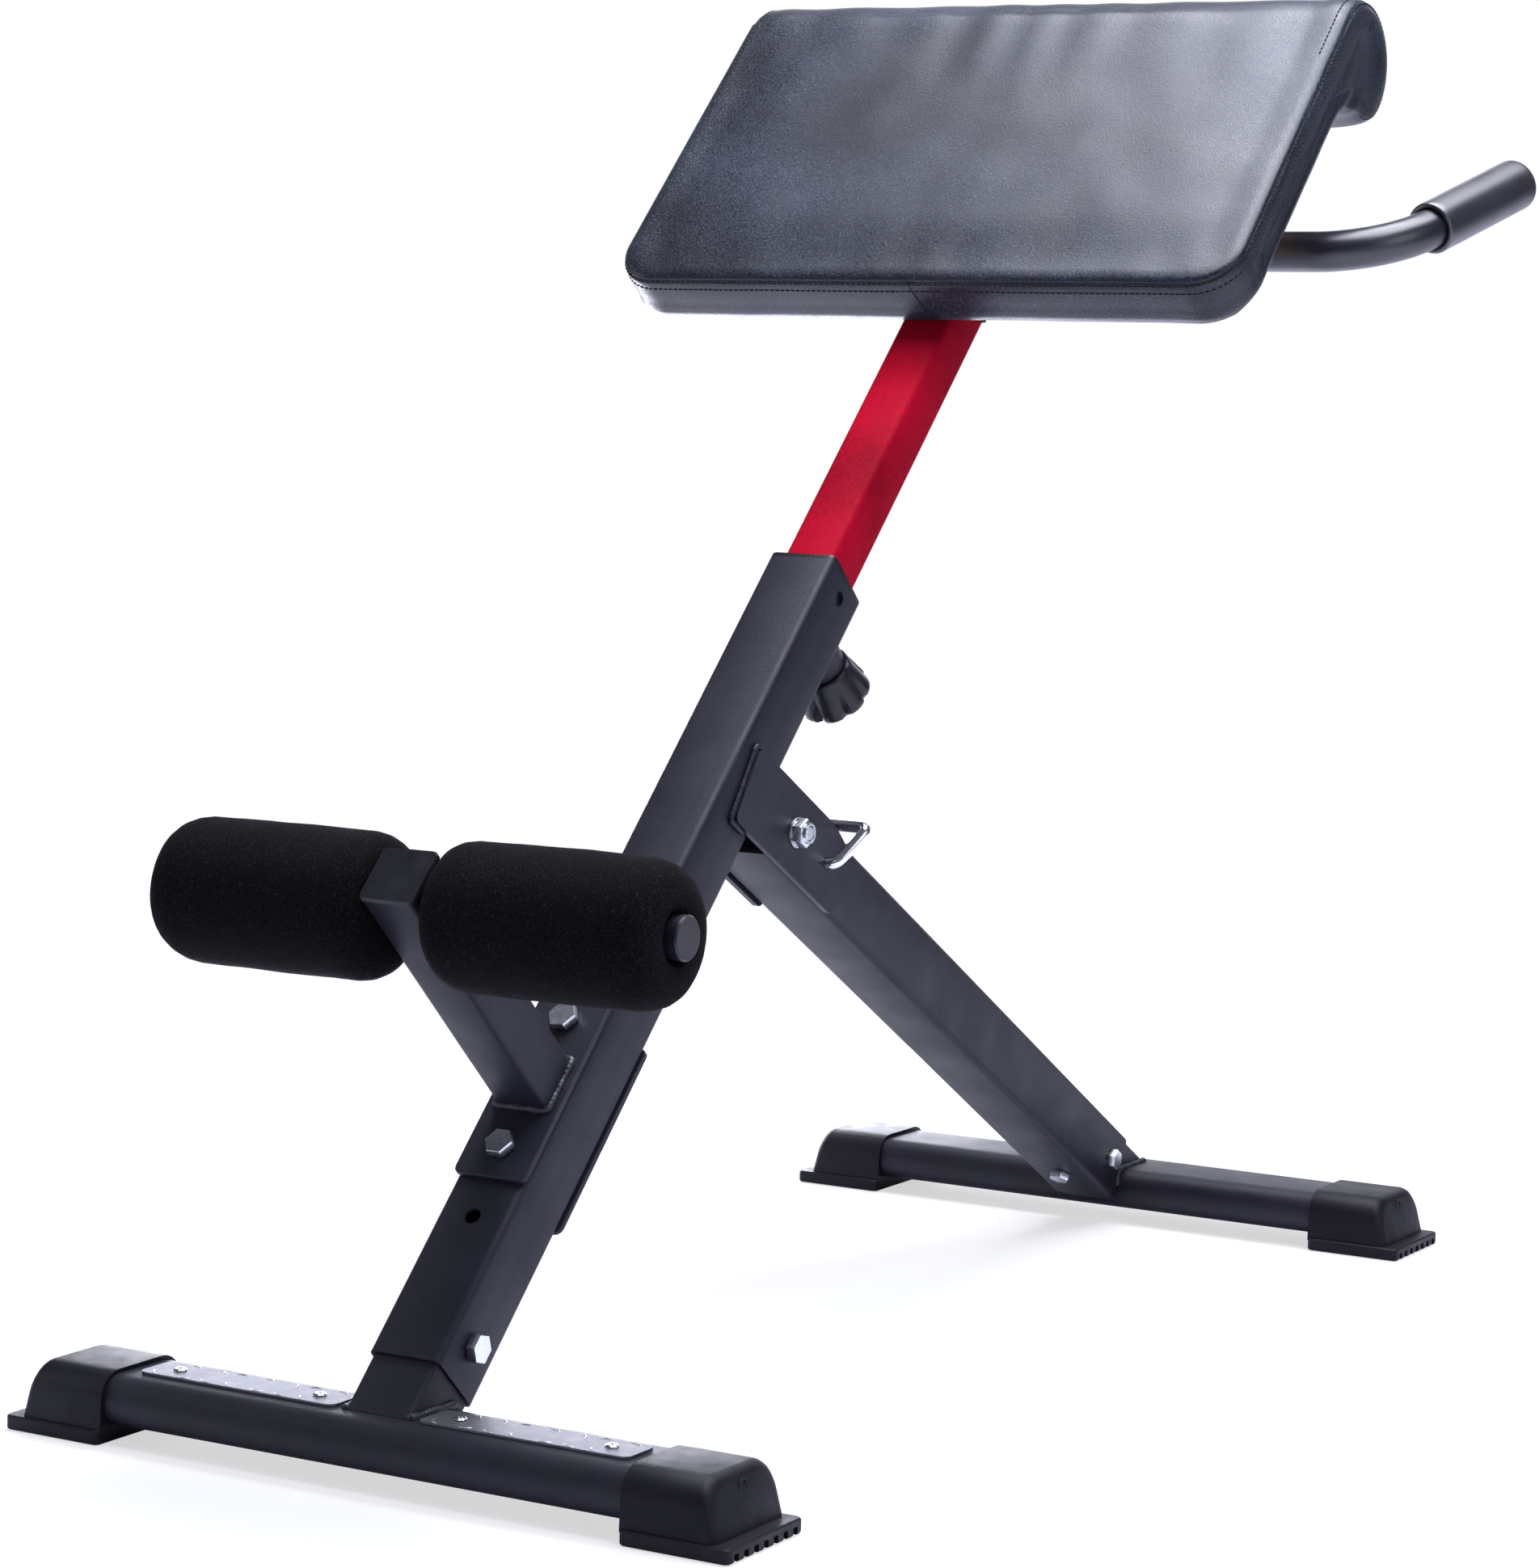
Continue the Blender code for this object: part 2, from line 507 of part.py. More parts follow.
# ---- telescopic post ---------------------------------------------------------------------------
upper = square_tube("upper_post", RED_W, RED_W, RED_R, RED_WALL, RED_LOW, RED_TOP, CORE, RED_COAT)
for k in range(-4, 5):
    drill([upper], POST @ at(0, MID, PIN_UP + k * RED_PITCH) @ TO_BACK, 0.0056, 0, 0.03, "red_drill")
for tag, z, way in (("bottom", RED_LOW, -1), ("top", RED_TOP, 1)):
    plug = stepped(((0.0334, 0.002, z - way * 0.010), (0.0334, 0.002, z + way * GAP),
                    (0.0372, 0.004, z + way * GAP), (0.0372, 0.004, z + way * 0.0024)))
    finish(f"upper_post_plug_{tag}", loft(plug), PLASTIC, CORE)

# pull pin behind the post
PIN = POST @ at(0, 0, PIN_UP) @ TO_BACK
REAR = POST_W + GAP
turned("pin_barrel", [(0.0085, REAR), (0.0175, REAR), (0.0175, REAR + 0.021),
       (0.0165, REAR + 0.0225), (0.0054, REAR + 0.0225), (0.0054, REAR + 0.020),
       (0.0085, REAR + 0.020)], BLACK_COAT, PIN, ring=True)
turned("pin_plunger", [(0.0035, 0.0444), (0.0048, 0.0456), (0.0048, REAR + 0.001),
       (0.0079, REAR + 0.001), (0.0079, REAR + 0.003), (0.0048, REAR + 0.003), (0.0048, 0.0930),
       (0.0040, 0.0940)], ZINC, PIN)
turns, per = 4, 8
coil = []
for k in range(turns * per + 1):
    a = 2 * math.pi * k / per
    coil.append((0.0064 * math.cos(a), 0.0064 * math.sin(a),
                 REAR + 0.0042 + 0.0148 * k / (turns * per)))
bent("pin_spring", coil, 0.0007, ZINC, PIN, 1)

FRONT = REAR + 0.0225 + GAP


def knob_ring(r, z, flute, n=40):
    ring = []
    for i in range(n):
        a = 2 * math.pi * i / n
        dip = flute * max(0.0, math.cos(a * 8)) ** 1.5
        ring.append(((r - dip) * math.cos(a), (r - dip) * math.sin(a), FRONT + z))
    return ring


# from the bottom of the plunger's bore, out of its mouth and up the fluted outside
finish("pull_knob", loft([knob_ring(*row) for row in (
    (0.0053, 0.0215, 0), (0.0053, 0, 0), (0.0185, 0, 0), (0.0198, 0.0012, 0.0002),
    (0.0208, 0.006, 0.0012), (0.0254, 0.0230, 0.0034), (0.0260, 0.0262, 0.0034),
    (0.0248, 0.0290, 0.0026), (0.0200, 0.0312, 0.0004), (0.0110, 0.0320, 0))]), PLASTIC, PIN, 0.9)

# ---- pad: two angle brackets, board, cushion with a rolled top ------------------------------------
BACK = PAD_BACK
for tag, side in (("left", -1), ("right", 1)):
    s, e = side * (RED_W / 2 + GAP), side * 0.062
    t = side * (RED_W / 2 + GAP + 0.003)
    y0, y1, y2 = BACK + GAP, BACK + GAP + 0.003, 0.040
    angle = [(s, y0), (e, y0), (e, y1), (t, y1), (t, y2), (s, y2)]
    finish(f"pad_bracket_{tag}", slab(angle, 0.895, 1.050), BLACK_COAT, POST)
    for k, up in enumerate((0.925, 1.020), 1):
        head = [(0.0065, 0), (0.0065, 0.0010), (0.0050, 0.0034), (0.0020, 0.0040), (0.0016, 0.0025)]
        turned(f"pad_screw_{tag}_{k}", head, ZINC,
               POST @ at(side * 0.045, y1 + GAP, up) @ TO_BACK, 12)

board_mid = (BOARD["low"] + BOARD["top"]) / 2
board_long = BOARD["top"] - BOARD["low"]
board_at = POST @ at(0, 0, board_mid) @ TO_BACK
finish("pad_board", block(2 * BOARD["half"], board_long, 0.012, BACK - BOARD["thick"], BACK),
       PLYWOOD, board_at)


def pad_section(x, shrink, start):
    """The pad cut square to x: a slab that runs into a roll; points are (x, depth, up)."""
    f, b = PAD_FRONT + shrink, PAD_BACK - shrink * 0.4
    low = start + shrink * 0.5
    r, q, crown = 0.006, 0.004, 0.022
    ring = [(low, b - q), (low, f + r)]
    for k in range(1, 5):
        a = k / 4 * math.pi / 2
        ring.append((low + crown - crown * math.cos(a), f + r - r * math.sin(a)))
    ring += [(low + (ROLL_UP - low) * t, f) for t in (0.35, 0.7)]
    a_, b_ = ROLL_A - shrink, ROLL_B - shrink
    for k in range(17):
        a = -math.pi / 2 + (math.pi * 1.5 + math.asin(-(b - ROLL_DEEP) / b_)) * k / 16
        ring.append((ROLL_UP + a_ * math.cos(a), ROLL_DEEP + b_ * math.sin(a)))
    ring += [(low + (ROLL_UP - low) * t, b) for t in (0.6, 0.3)]
    ring.append((low + q, b))
    return [(x, deep, up) for up, deep in ring]


CORNER = 0.034
stations = []
for x, shrink in ((0.2160, 0.0), (0.2290, 0.0012), (0.2380, 0.0035), (0.2425, 0.0065), (PAD_HALF, 0.0100)):
    reach = max(0.0, x - (PAD_HALF - CORNER))
    start = PAD_LOW + CORNER - math.sqrt(max(CORNER ** 2 - reach ** 2, 0.0))
    stations.append((x, shrink, start))
order = [(-x, s, a) for x, s, a in stations[::-1]] + stations
cushion = finish("pad_cushion", loft([pad_section(*row) for row in order]), LEATHER, POST, 0.9)
g = GAP
boolean(cushion, finish("board_pocket", block(2 * (BOARD["half"] + g), board_long + 2 * g, 0.012,
        BACK - BOARD["thick"] - g, BACK + 0.010), None, board_at))

# ---- handlebar and grips ----------------------------------------------------------------------------
BAR = POST @ at(0, BAR2_DEEP, BAR2_UP)
origin = BAR.translation
away = Vector((0, math.cos(RISE), math.sin(RISE)))


def handle(side, length):
    """Right or left half of the bar's middle line, from its centre, about the bar's origin."""
    x = Vector((side, 0, 0))
    line = [x * 0.0, x * BAR2_HALF]
    for k in range(1, 9):
        a = BEND * k / 8
        line.append(x * (BAR2_HALF + BEND_R * math.sin(a)) + away * (BEND_R - BEND_R * math.cos(a)))
    way = x * math.cos(BEND) + away * math.sin(BEND)
    line.append(line[-1] + way * length)
    return line, way


right, way = handle(1, GRIP_L - 0.006)
left, _ = handle(-1, GRIP_L - 0.006)
path = left[::-1][:-1] + right[1:]
bent("handlebar", path, BAR2_R, BLACK_COAT, Matrix.Translation(origin), 6, wall=0.002)
for tag, side in (("left", -1), ("right", 1)):
    line, way = handle(side, 0.002)
    turn = way.to_track_quat("Z", "Y").to_matrix().to_4x4()
    place = Matrix.Translation(origin + line[-2] + way * 0.001) @ turn
    inside = BAR2_R + GAP
    profile = [(inside, 0), (GRIP_R - 0.0006, 0), (GRIP_R, 0.001), (GRIP_R, GRIP_L - 0.006),
               (GRIP_R - 0.002, GRIP_L - 0.0018), (GRIP_R - 0.006, GRIP_L)]
    profile += [(0.002, GRIP_L), (0.002, GRIP_L - 0.0065), (inside, GRIP_L - 0.0065)]
    turned(f"hand_grip_{tag}", profile, GRIP, place, 24, ring=True)

# ---- joints: an empty on each joint's axis carries what moves there -----------------------------


def carry(name, frame, pieces, parent=None):
    empty = bpy.data.objects.new(name, None)
    empty.empty_display_size = 0.06
    empty.matrix_world = frame
    chair.objects.link(empty)
    if parent:
        hang(empty, parent)
    for obj in [o for o in chair.objects if o.name.startswith(pieces) and o.parent is None]:
        if obj is not empty:
            hang(obj, empty)
    return empty


carry("slide_pad_height", CORE @ at(z=PIN_UP), ("upper_post", "pad_", "handlebar", "hand_grip"))
carry("hinge_strut_fold", STRUT, ("rear_", "foot_rear", "strut_"))
carry("slide_lock_pin", STRUT @ at(z=-LOCK_BACK) @ TO_X, ("lock_pin",))
plunger = carry("slide_plunger", PIN, ("pin_plunger",))
carry("hinge_knob", PIN @ at(z=FRONT), ("pull_knob",), plunger)
for tag in ("left", "right"):
    carry(f"hinge_roller_{tag}", AXLE, (f"foam_roller_{tag}",))
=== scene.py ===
"""The roman chair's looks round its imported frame: materials, soft and fine pieces, camera and light."""
import math

import bmesh
import bpy
import numpy as np
from mathutils import Matrix, Vector, bvhtree, kdtree, noise
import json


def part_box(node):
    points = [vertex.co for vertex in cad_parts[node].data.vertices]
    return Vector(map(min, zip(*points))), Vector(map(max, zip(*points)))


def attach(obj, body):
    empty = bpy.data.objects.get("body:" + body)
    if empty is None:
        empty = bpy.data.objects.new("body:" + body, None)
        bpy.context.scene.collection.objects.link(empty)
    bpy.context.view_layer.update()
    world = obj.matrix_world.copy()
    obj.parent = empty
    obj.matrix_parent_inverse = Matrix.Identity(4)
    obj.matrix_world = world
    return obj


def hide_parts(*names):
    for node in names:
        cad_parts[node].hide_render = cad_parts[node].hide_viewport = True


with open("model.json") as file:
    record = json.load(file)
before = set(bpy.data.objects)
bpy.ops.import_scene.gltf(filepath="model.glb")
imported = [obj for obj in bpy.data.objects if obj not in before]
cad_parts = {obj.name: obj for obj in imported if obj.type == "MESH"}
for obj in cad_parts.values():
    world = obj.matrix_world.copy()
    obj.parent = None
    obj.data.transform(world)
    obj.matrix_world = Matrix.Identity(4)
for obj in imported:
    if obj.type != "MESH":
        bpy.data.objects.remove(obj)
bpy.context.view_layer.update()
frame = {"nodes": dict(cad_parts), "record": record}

# ---- frames: x across, y depth behind the tube's front face, z along the tube ---------------------
Y_MID = 0.51735            # the object's middle, measured from its front edge
POST_LEAN, STRUT_LEAN = math.radians(44.35), math.radians(30.6)
POST = Matrix.Translation((0, 0.0540 - Y_MID, 0.0704)) @ Matrix.Rotation(-POST_LEAN, 4, "X")
STRUT = Matrix.Translation((0, 0.4470 - Y_MID, 0.3460)) @ Matrix.Rotation(math.pi / 2 - STRUT_LEAN, 4, "X")
WORLD = Matrix.Identity(4)
TO_X = Matrix.Rotation(math.pi / 2, 4, "Y")
ARM_UP, BAR_UP, BARREL_UP = 0.1955, 0.9868, 0.600   # up the post: roller arm, handlebar, pull pin
SIDES = ((-1, "left"), (1, "right"))


def at(x=0.0, y=0.0, z=0.0):
    return Matrix.Translation((x, y, z))


# ---- materials ------------------------------------------------------------------------------
class Shader:
    """A Principled material, with its nodes in the row's own coordinates."""

    def __init__(self, name, colour, rough, metal=0.0, **sockets):
        self.mat = bpy.data.materials.new(name)
        self.mat.use_nodes = True
        self.tree = self.mat.node_tree
        self.bsdf = self.tree.nodes["Principled BSDF"]
        self.bsdf.inputs["Base Color"].default_value = (*colour, 1)
        self.bsdf.inputs["Roughness"].default_value = rough
        self.bsdf.inputs["Metallic"].default_value = metal
        for key, value in sockets.items():
            self.bsdf.inputs[key.replace("_", " ")].default_value = value
        self.place = self.tree.nodes.new("ShaderNodeTexCoord").outputs["Object"]
        self.normal = None
        self.mat.diffuse_color = (*colour, 1)

    def node(self, kind, **inputs):
        """A node with its inputs set or linked, by name, or by number as in _0."""
        made = self.tree.nodes.new("ShaderNode" + kind)
        for key, value in inputs.items():
            key = int(key[1:]) if key[0] == "_" else key.replace("_", " ")
            if isinstance(value, bpy.types.NodeSocket):
                self.tree.links.new(value, made.inputs[key])
            else:
                made.inputs[key].default_value = value
        return made

    def noise(self, scale, detail=3.0, rough=0.5, stretch=None):
        """Noise with scale cells to the metre."""
        place = self.place
        if stretch:
            place = self.node("Mapping", Vector=place, Scale=stretch).outputs[0]
        return self.node("TexNoise", Vector=place, Scale=scale, Detail=detail, Roughness=rough).outputs[0]

    def cells(self, scale, feature="F1"):
        made = self.node("TexVoronoi", Vector=self.place, Scale=scale)
        made.feature = feature
        return made.outputs["Distance"]

    def ramp(self, fac, stops):
        """A colour ramp; each stop is (position, grey) or (position, (red, green, blue))."""
        made = self.node("ValToRGB", Fac=fac)
        elements = made.color_ramp.elements
        while len(elements) < len(stops):
            elements.new(0.5)
        for element, (position, colour) in zip(elements, stops):
            element.position = position
            element.color = (*colour, 1) if hasattr(colour, "__len__") else (colour, colour, colour, 1)
        return made.outputs[0]

    def math(self, operation, a, b):
        made = self.node("Math", _0=a, _1=b)
        made.operation = operation
        return made.outputs[0]

    def bump(self, height, strength, distance):
        """Adds a bump on top of the ones before it."""
        made = self.node("Bump", Height=height, Strength=strength, Distance=distance)
        if self.normal:
            self.tree.links.new(self.normal, made.inputs["Normal"])
        self.normal = made.outputs[0]
        self.tree.links.new(self.normal, self.bsdf.inputs["Normal"])

    def drive(self, socket, value):
        """Links a varying value to one of the shader's sockets."""
        self.tree.links.new(value, self.bsdf.inputs[socket])


def scaled(colour, factor):
    return tuple(min(1.0, c * factor) for c in colour)


def powder_coat(name, colour, rough, speck, peel=0.25, **sockets):
    """Sprayed and baked powder: orange peel, a fine grit and rare light specks."""
    s = Shader(name, colour, rough, **sockets)
    cloud = s.noise(9, 4)
    grit = s.noise(1150, 2, 0.7)
    low, high = scaled(colour, 0.50), scaled(colour, 1.50)
    tone = s.ramp(s.math("ADD", s.math("MULTIPLY", cloud, 0.45), s.math("MULTIPLY", grit, 0.55)),
                  [(0.36, low), (0.66, high), (0.74, scaled(colour, 1.0 + 2.2 * speck))])
    s.drive("Base Color", tone)
    s.drive("Roughness", s.ramp(s.noise(26, 3), [(0.3, rough - 0.05), (0.7, rough + 0.06)]))
    s.bump(s.noise(620, 2), peel, 0.00022)
    s.bump(grit, 0.50, 0.00022)
    return s.mat


def moulded(name, colour, rough, grain=0.25, scale=1500, **sockets):
    """Injection moulded plastic or PVC with a fine spark-eroded grain."""
    s = Shader(name, colour, rough, **sockets)
    fine = s.noise(scale, 3, 0.65)
    s.drive("Base Color", s.ramp(s.noise(38, 4), [(0.3, scaled(colour, 0.8)), (0.72, scaled(colour, 1.25))]))
    s.drive("Roughness", s.ramp(s.noise(70, 3), [(0.28, rough - 0.05), (0.75, rough + 0.08)]))
    s.bump(fine, grain, 0.0002)
    return s.mat


def foam(name):
    """Cellular foam rubber: pores, fine fibres and a few paler flecks."""
    s = Shader(name, (0.003, 0.003, 0.0035), 0.93, Specular_IOR_Level=0.10)
    pores = s.cells(900)
    fine = s.noise(2200, 3, 0.7)
    flecks = s.math("MULTIPLY", pores, s.math("ADD", fine, 0.35))
    tone = s.ramp(flecks, [(0.10, (0.0005, 0.0005, 0.0008)), (0.45, (0.0016, 0.0015, 0.0025)),
                           (0.62, (0.0045, 0.0042, 0.0062)), (0.76, (0.0130, 0.0125, 0.0160))])
    s.drive("Base Color", tone)
    s.bump(pores, 0.6, 0.0006)
    s.bump(fine, 0.5, 0.0003)
    s.bump(s.noise(46, 2), 0.25, 0.0012)
    return s.mat


def hide(name, colour, rough):
    """Coated fabric: a fine speckled grain, faint pebble, and slow change of tone and gloss."""
    s = Shader(name, colour, rough, Specular_IOR_Level=0.43, Sheen_Weight=0.05, Sheen_Roughness=0.4)
    pebble = s.cells(1150, "SMOOTH_F1")
    speck = s.noise(760, 2, 0.75)
    broad = s.noise(7, 4, 0.55)
    mixed = s.math("ADD", s.math("MULTIPLY", speck, 0.72), s.math("MULTIPLY", broad, 0.28))
    red, green, blue = colour
    tone = s.ramp(mixed, [(0.36, scaled(colour, 0.3)), (0.49, colour),
                          (0.58, (red * 2.6, green * 3.0, blue * 3.0)),
                          (0.66, (red * 8.0, green * 8.5, blue * 7.5))])
    s.drive("Base Color", tone)
    s.drive("Roughness", s.ramp(mixed, [(0.38, rough - 0.09), (0.62, rough + 0.14)]))
    s.bump(pebble, 0.22, 0.00025)
    s.bump(speck, 0.55, 0.00028)
    s.bump(s.noise(34, 3), 0.16, 0.0012)
    return s.mat


def plated(name, colour, rough, tint, scale=160, grain=0.12, **sockets):
    """Plated steel: a cloudy passivation that drifts towards the tint, and a fine crystal grain."""
    s = Shader(name, colour, rough, 1.0, **sockets)
    cloud = s.noise(scale, 5, 0.6)
    s.drive("Base Color", s.ramp(cloud, [(0.3, scaled(colour, 0.86)), (0.55, colour), (0.8, tint)]))
    s.drive("Roughness", s.ramp(s.noise(420, 3), [(0.3, max(0.05, rough - 0.03)), (0.7, rough + 0.05)]))
    s.bump(s.noise(900, 3, 0.6), grain * 0.6, 0.00010)
    return s.mat


def chromed(name):
    """Bright chrome with a faint uneven polish."""
    s = Shader(name, (0.78, 0.78, 0.80), 0.10, 1.0)
    s.drive("Roughness", s.ramp(s.noise(260, 3), [(0.35, 0.06), (0.75, 0.15)]))
    s.drive("Base Color", s.ramp(s.noise(90, 4), [(0.3, (0.66, 0.66, 0.69)), (0.7, (0.86, 0.86, 0.87))]))
    s.bump(s.noise(500, 2), 0.05, 0.0001)
    return s.mat


def wooden(name):
    """A plywood face, with its grain across the object."""
    s = Shader(name, (0.42, 0.27, 0.14), 0.7)
    grain = s.noise(60, 5, 0.6, (0.12, 1.0, 4.0))
    s.drive("Base Color", s.ramp(grain, [(0.3, (0.25, 0.14, 0.06)), (0.5, (0.42, 0.27, 0.14)),
                                         (0.75, (0.55, 0.38, 0.22))]))
    s.bump(grain, 0.3, 0.0004)
    return s.mat


COAT = (0.0088, 0.0086, 0.0165)
MATERIALS = {
    "powder_coat_black": powder_coat("coat_black", COAT, 0.50, 0.9, Specular_IOR_Level=0.32),
    "powder_coat_red": powder_coat("coat_red", (0.34, 0.0022, 0.017), 0.55, 0.10, 0.30,
                                   Specular_IOR_Level=0.03),
    "plastic_black": moulded("plastic_satin", (0.0075, 0.0072, 0.0115), 0.33, Specular_IOR_Level=0.40),
    "foot_pvc": moulded("pvc_foot", (0.0052, 0.0049, 0.0085), 0.48, 0.9, 1200, Specular_IOR_Level=0.20),
    "foam_black": foam("foam_cellular"),
    "synthetic_leather": hide("leather_grain", (0.0066, 0.0084, 0.0150), 0.37),
    "plywood": wooden("plywood_face"),
    "zinc_plated_steel": plated("zinc_bright", (0.70, 0.73, 0.75), 0.24, (0.74, 0.77, 0.72)),
    "chrome": chromed("chrome_wire"),
    "step_plate_steel": plated("zinc_sheet", (0.25, 0.255, 0.27), 0.45, (0.37, 0.35, 0.31), 90, 0.25,
                               Specular_Tint=(0.60, 0.60, 0.62, 1.0)),
    "grip_pvc": moulded("pvc_grip", (0.0130, 0.0130, 0.0185), 0.34, 0.30, 1100, Specular_IOR_Level=0.95,
                        Coat_Weight=0.5, Coat_Roughness=0.34),
}
# The beads wear the frame's own powder coat, but their colour is painted about twice as light as the
# frame's: a painted sheen for the light that catches their lumps.
WELD = powder_coat("weld_coat", (0.017, 0.0168, 0.023), 0.45, 0.6, 0.6)
BAR_COAT = powder_coat("coat_bar", COAT, 0.31, 0.9, 0.14, Specular_IOR_Level=0.85)
CRESTS = plated("zinc_crests", (0.78, 0.78, 0.80), 0.30, (0.86, 0.86, 0.86), 90, 0.10)
THREAD = moulded("thread_black", (0.004, 0.004, 0.005), 0.7, 0.5, 2600)

# CAD nodes that stay: their slot's finish, and shading that turns smoothly below SHARP
WELD_DISTANCE, SHARP = 0.000005, math.radians(35)
for row in frame["record"]["subparts"]:
    node = frame["nodes"][row["node"]]
    node.data.materials.clear()
    node.data.materials.append(MATERIALS[row["material_slot"]])
    for attribute in [a.name for a in node.data.attributes if a.name == "custom_normal"]:
        node.data.attributes.remove(node.data.attributes[attribute])
    node.data.polygons.foreach_set("use_smooth", [True] * len(node.data.polygons))
    node.data.polygons.foreach_set("material_index", [0] * len(node.data.polygons))
    weld = node.modifiers.new("weld", "WELD")
    weld.merge_threshold = WELD_DISTANCE
    split = node.modifiers.new("split", "EDGE_SPLIT")
    split.split_angle = SHARP


# ---- mesh helpers -----------------------------------------------------------------------------
def smooth_mesh(name, verts, faces, matrix=WORLD):
    """A mesh with its faces turned outwards and shaded smoothly."""
    mesh = bpy.data.meshes.new(name)
    mesh.from_pydata([tuple(v) for v in verts], [], faces)
    mesh.transform(matrix)
    bm = bmesh.new()
    bm.from_mesh(mesh)
    bmesh.ops.recalc_face_normals(bm, faces=bm.faces)
    bm.to_mesh(mesh)
    bm.free()
    mesh.polygons.foreach_set("use_smooth", [True] * len(mesh.polygons))
    return mesh


def linked(name, mesh):
    """An object of this mesh, in the scene."""
    obj = bpy.data.objects.new(name, mesh)
    bpy.context.scene.collection.objects.link(obj)
    return obj


def piece(name, verts, faces, matrix, slot, body, mat=None, replaced=()):
    """A smooth mesh object, on its body."""
    obj = linked(name, smooth_mesh(name, verts, faces, matrix))
    obj.data.materials.append(mat or MATERIALS[slot])
    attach(obj, body)
    if replaced:
        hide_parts(*replaced)
    return obj


def skin(rings, closed=False):
    """(verts, faces) of a tube of quads through equal rings, capped unless it closes on itself."""
    n = len(rings[0])
    verts = [p for ring in rings for p in ring]
    faces = []
    spans = len(rings) if closed else len(rings) - 1
    for i in range(spans):
        a, b = i * n, (i + 1) % len(rings) * n
        faces += [(a + k, a + (k + 1) % n, b + (k + 1) % n, b + k) for k in range(n)]
    if not closed:
        faces += [tuple(range(n))[::-1], tuple(range(len(verts) - n, len(verts)))]
    return verts, faces


def joined(verts, faces, part):
    """Adds a part's (verts, faces) to these two lists."""
    more_verts, more_faces = part
    faces.extend(tuple(k + len(verts) for k in face) for face in more_faces)
    verts.extend(more_verts)


def tube(path, radius, n=24, closed=False):
    """Rings of a round rod along a path; radius is a number, or a function of the point's index."""
    points = [Vector(p) for p in path]
    rings, side = [], None
    last = len(points) - 1
    for i, p in enumerate(points):
        a = points[i - 1] if i or closed else p
        b = points[(i + 1) % len(points)] if i < last or closed else p
        way = (b - a).normalized()
        side = way.orthogonal().normalized() if side is None else side
        side = (side - way * side.dot(way)).normalized()
        up = way.cross(side)
        r = radius(i) if callable(radius) else radius
        rings.append([p + r * (side * math.cos(2 * math.pi * k / n) + up * math.sin(2 * math.pi * k / n))
                      for k in range(n)])
    return rings


def turned(profile, n):
    """Rings of a turned shape; profile is (radius, height) along z."""
    return [[(r * math.cos(2 * math.pi * k / n), r * math.sin(2 * math.pi * k / n), z) for k in range(n)]
            for r, z in profile]


def resampled(points, step):
    """Points every step along a polyline."""
    points = [Vector(p) for p in points]
    out, left = [points[0].copy()], step
    for a, b in zip(points, points[1:]):
        length, done = (b - a).length, 0.0
        while length - done >= left:
            done += left
            out.append(a.lerp(b, done / length))
            left = step
        left -= length - done
    return out


def softened(points, radius, n=6):
    """A polyline with its inner corners rounded by curves of n pieces."""
    points = [Vector(p) for p in points]
    out = [points[0]]
    for a, b, c in zip(points, points[1:], points[2:]):
        cut = min(radius, 0.45 * (a - b).length, 0.45 * (c - b).length)
        p, q = b + (a - b).normalized() * cut, b + (c - b).normalized() * cut
        out += [p.lerp(b, k / n).lerp(b.lerp(q, k / n), k / n) for k in range(n + 1)]
    return out + [points[-1]]


# ---- pad ----------------------------------------------------------------------------------------
# Seen square to its face the cover is a panel with rounded lower corners. Its edge seam stands EDGE
# behind the face, the side band is square to the face, and the top end is a roll.
HALF, LOW, FRONT, BACK, EDGE = 0.2426, 0.8605, -0.0370, 0.0057, 0.0052
SEAM = FRONT + EDGE
CORNER = 0.034             # radius of the panel's lower corners
BULGE = 0.0014             # how far the side band swells
ROLL_UP, ROLL_DEEP, ROLL_A, ROLL_B = 1.127, 0.010, 0.045, 0.047   # the roll's middle and its half axes
WEB_FROM, WEB_UP = math.radians(132), 1.0655   # where the cover leaves the roll, and meets the slab's back
BOARD_HALF, BOARD_LOW, TUCK = 0.200, 0.885, 0.0022   # the board, and how far it stands proud of the cover
NEAR = [0.0003, 0.0007, 0.0013, 0.0021, 0.0032, 0.0046, 0.0064, 0.0086, 0.0114, 0.0170]
BAND = [0.0, 0.0007, 0.0014, 0.0022, 0.0034, 0.0050, 0.0066, 0.0080, 0.0105, 0.0145, 0.0195, 0.0250, 0.0300]
PANEL_STEPS, ROLL_STEPS, WEB_STEPS, BACK_STEPS = 26, 52, 10, 28
# the end panel's rows, as (how far out it stands, how far in from the seam)
END_ROWS = [(0.0003, 0.0007), (0.0006, 0.0014), (0.0009, 0.0024), (0.0012, 0.0040), (0.0015, 0.0058),
            (0.0016, 0.0076), (0.0016, 0.0100), (0.0014, 0.0130), (0.0012, 0.0155), (0.0012, 0.0158)]
CLOTH_FRAMES, MOST_MOVED, MOST_SWELL = 20, 0.0060, 0.0012


def share(value, start, end):
    """How far value is on its way from start to end, from 0 to 1."""
    return min(1.0, max(0.0, (value - start) / (end - start)))


def hump(value, middle, width):
    """1 at the middle, falling smoothly to nothing within a few widths."""
    return math.exp(-((value - middle) / width) ** 2)


def fall(d):
    """How far the panel has dropped towards its seam, d metres in from it: a wide crown, a round edge."""
    wide, tight = max(0.0, 1 - d / 0.030), max(0.0, 1 - d / 0.0095)
    return 0.12 * EDGE * wide ** 2 + 0.88 * EDGE * (1 - math.sqrt(max(0.0, 1 - tight ** 2)))


def roll_point(angle, inset):
    """(up, depth) of a point on the roll, turned from straight up towards the back."""
    return (ROLL_UP + (ROLL_A - inset) * math.cos(angle), ROLL_DEEP + (ROLL_B - inset) * math.sin(angle))


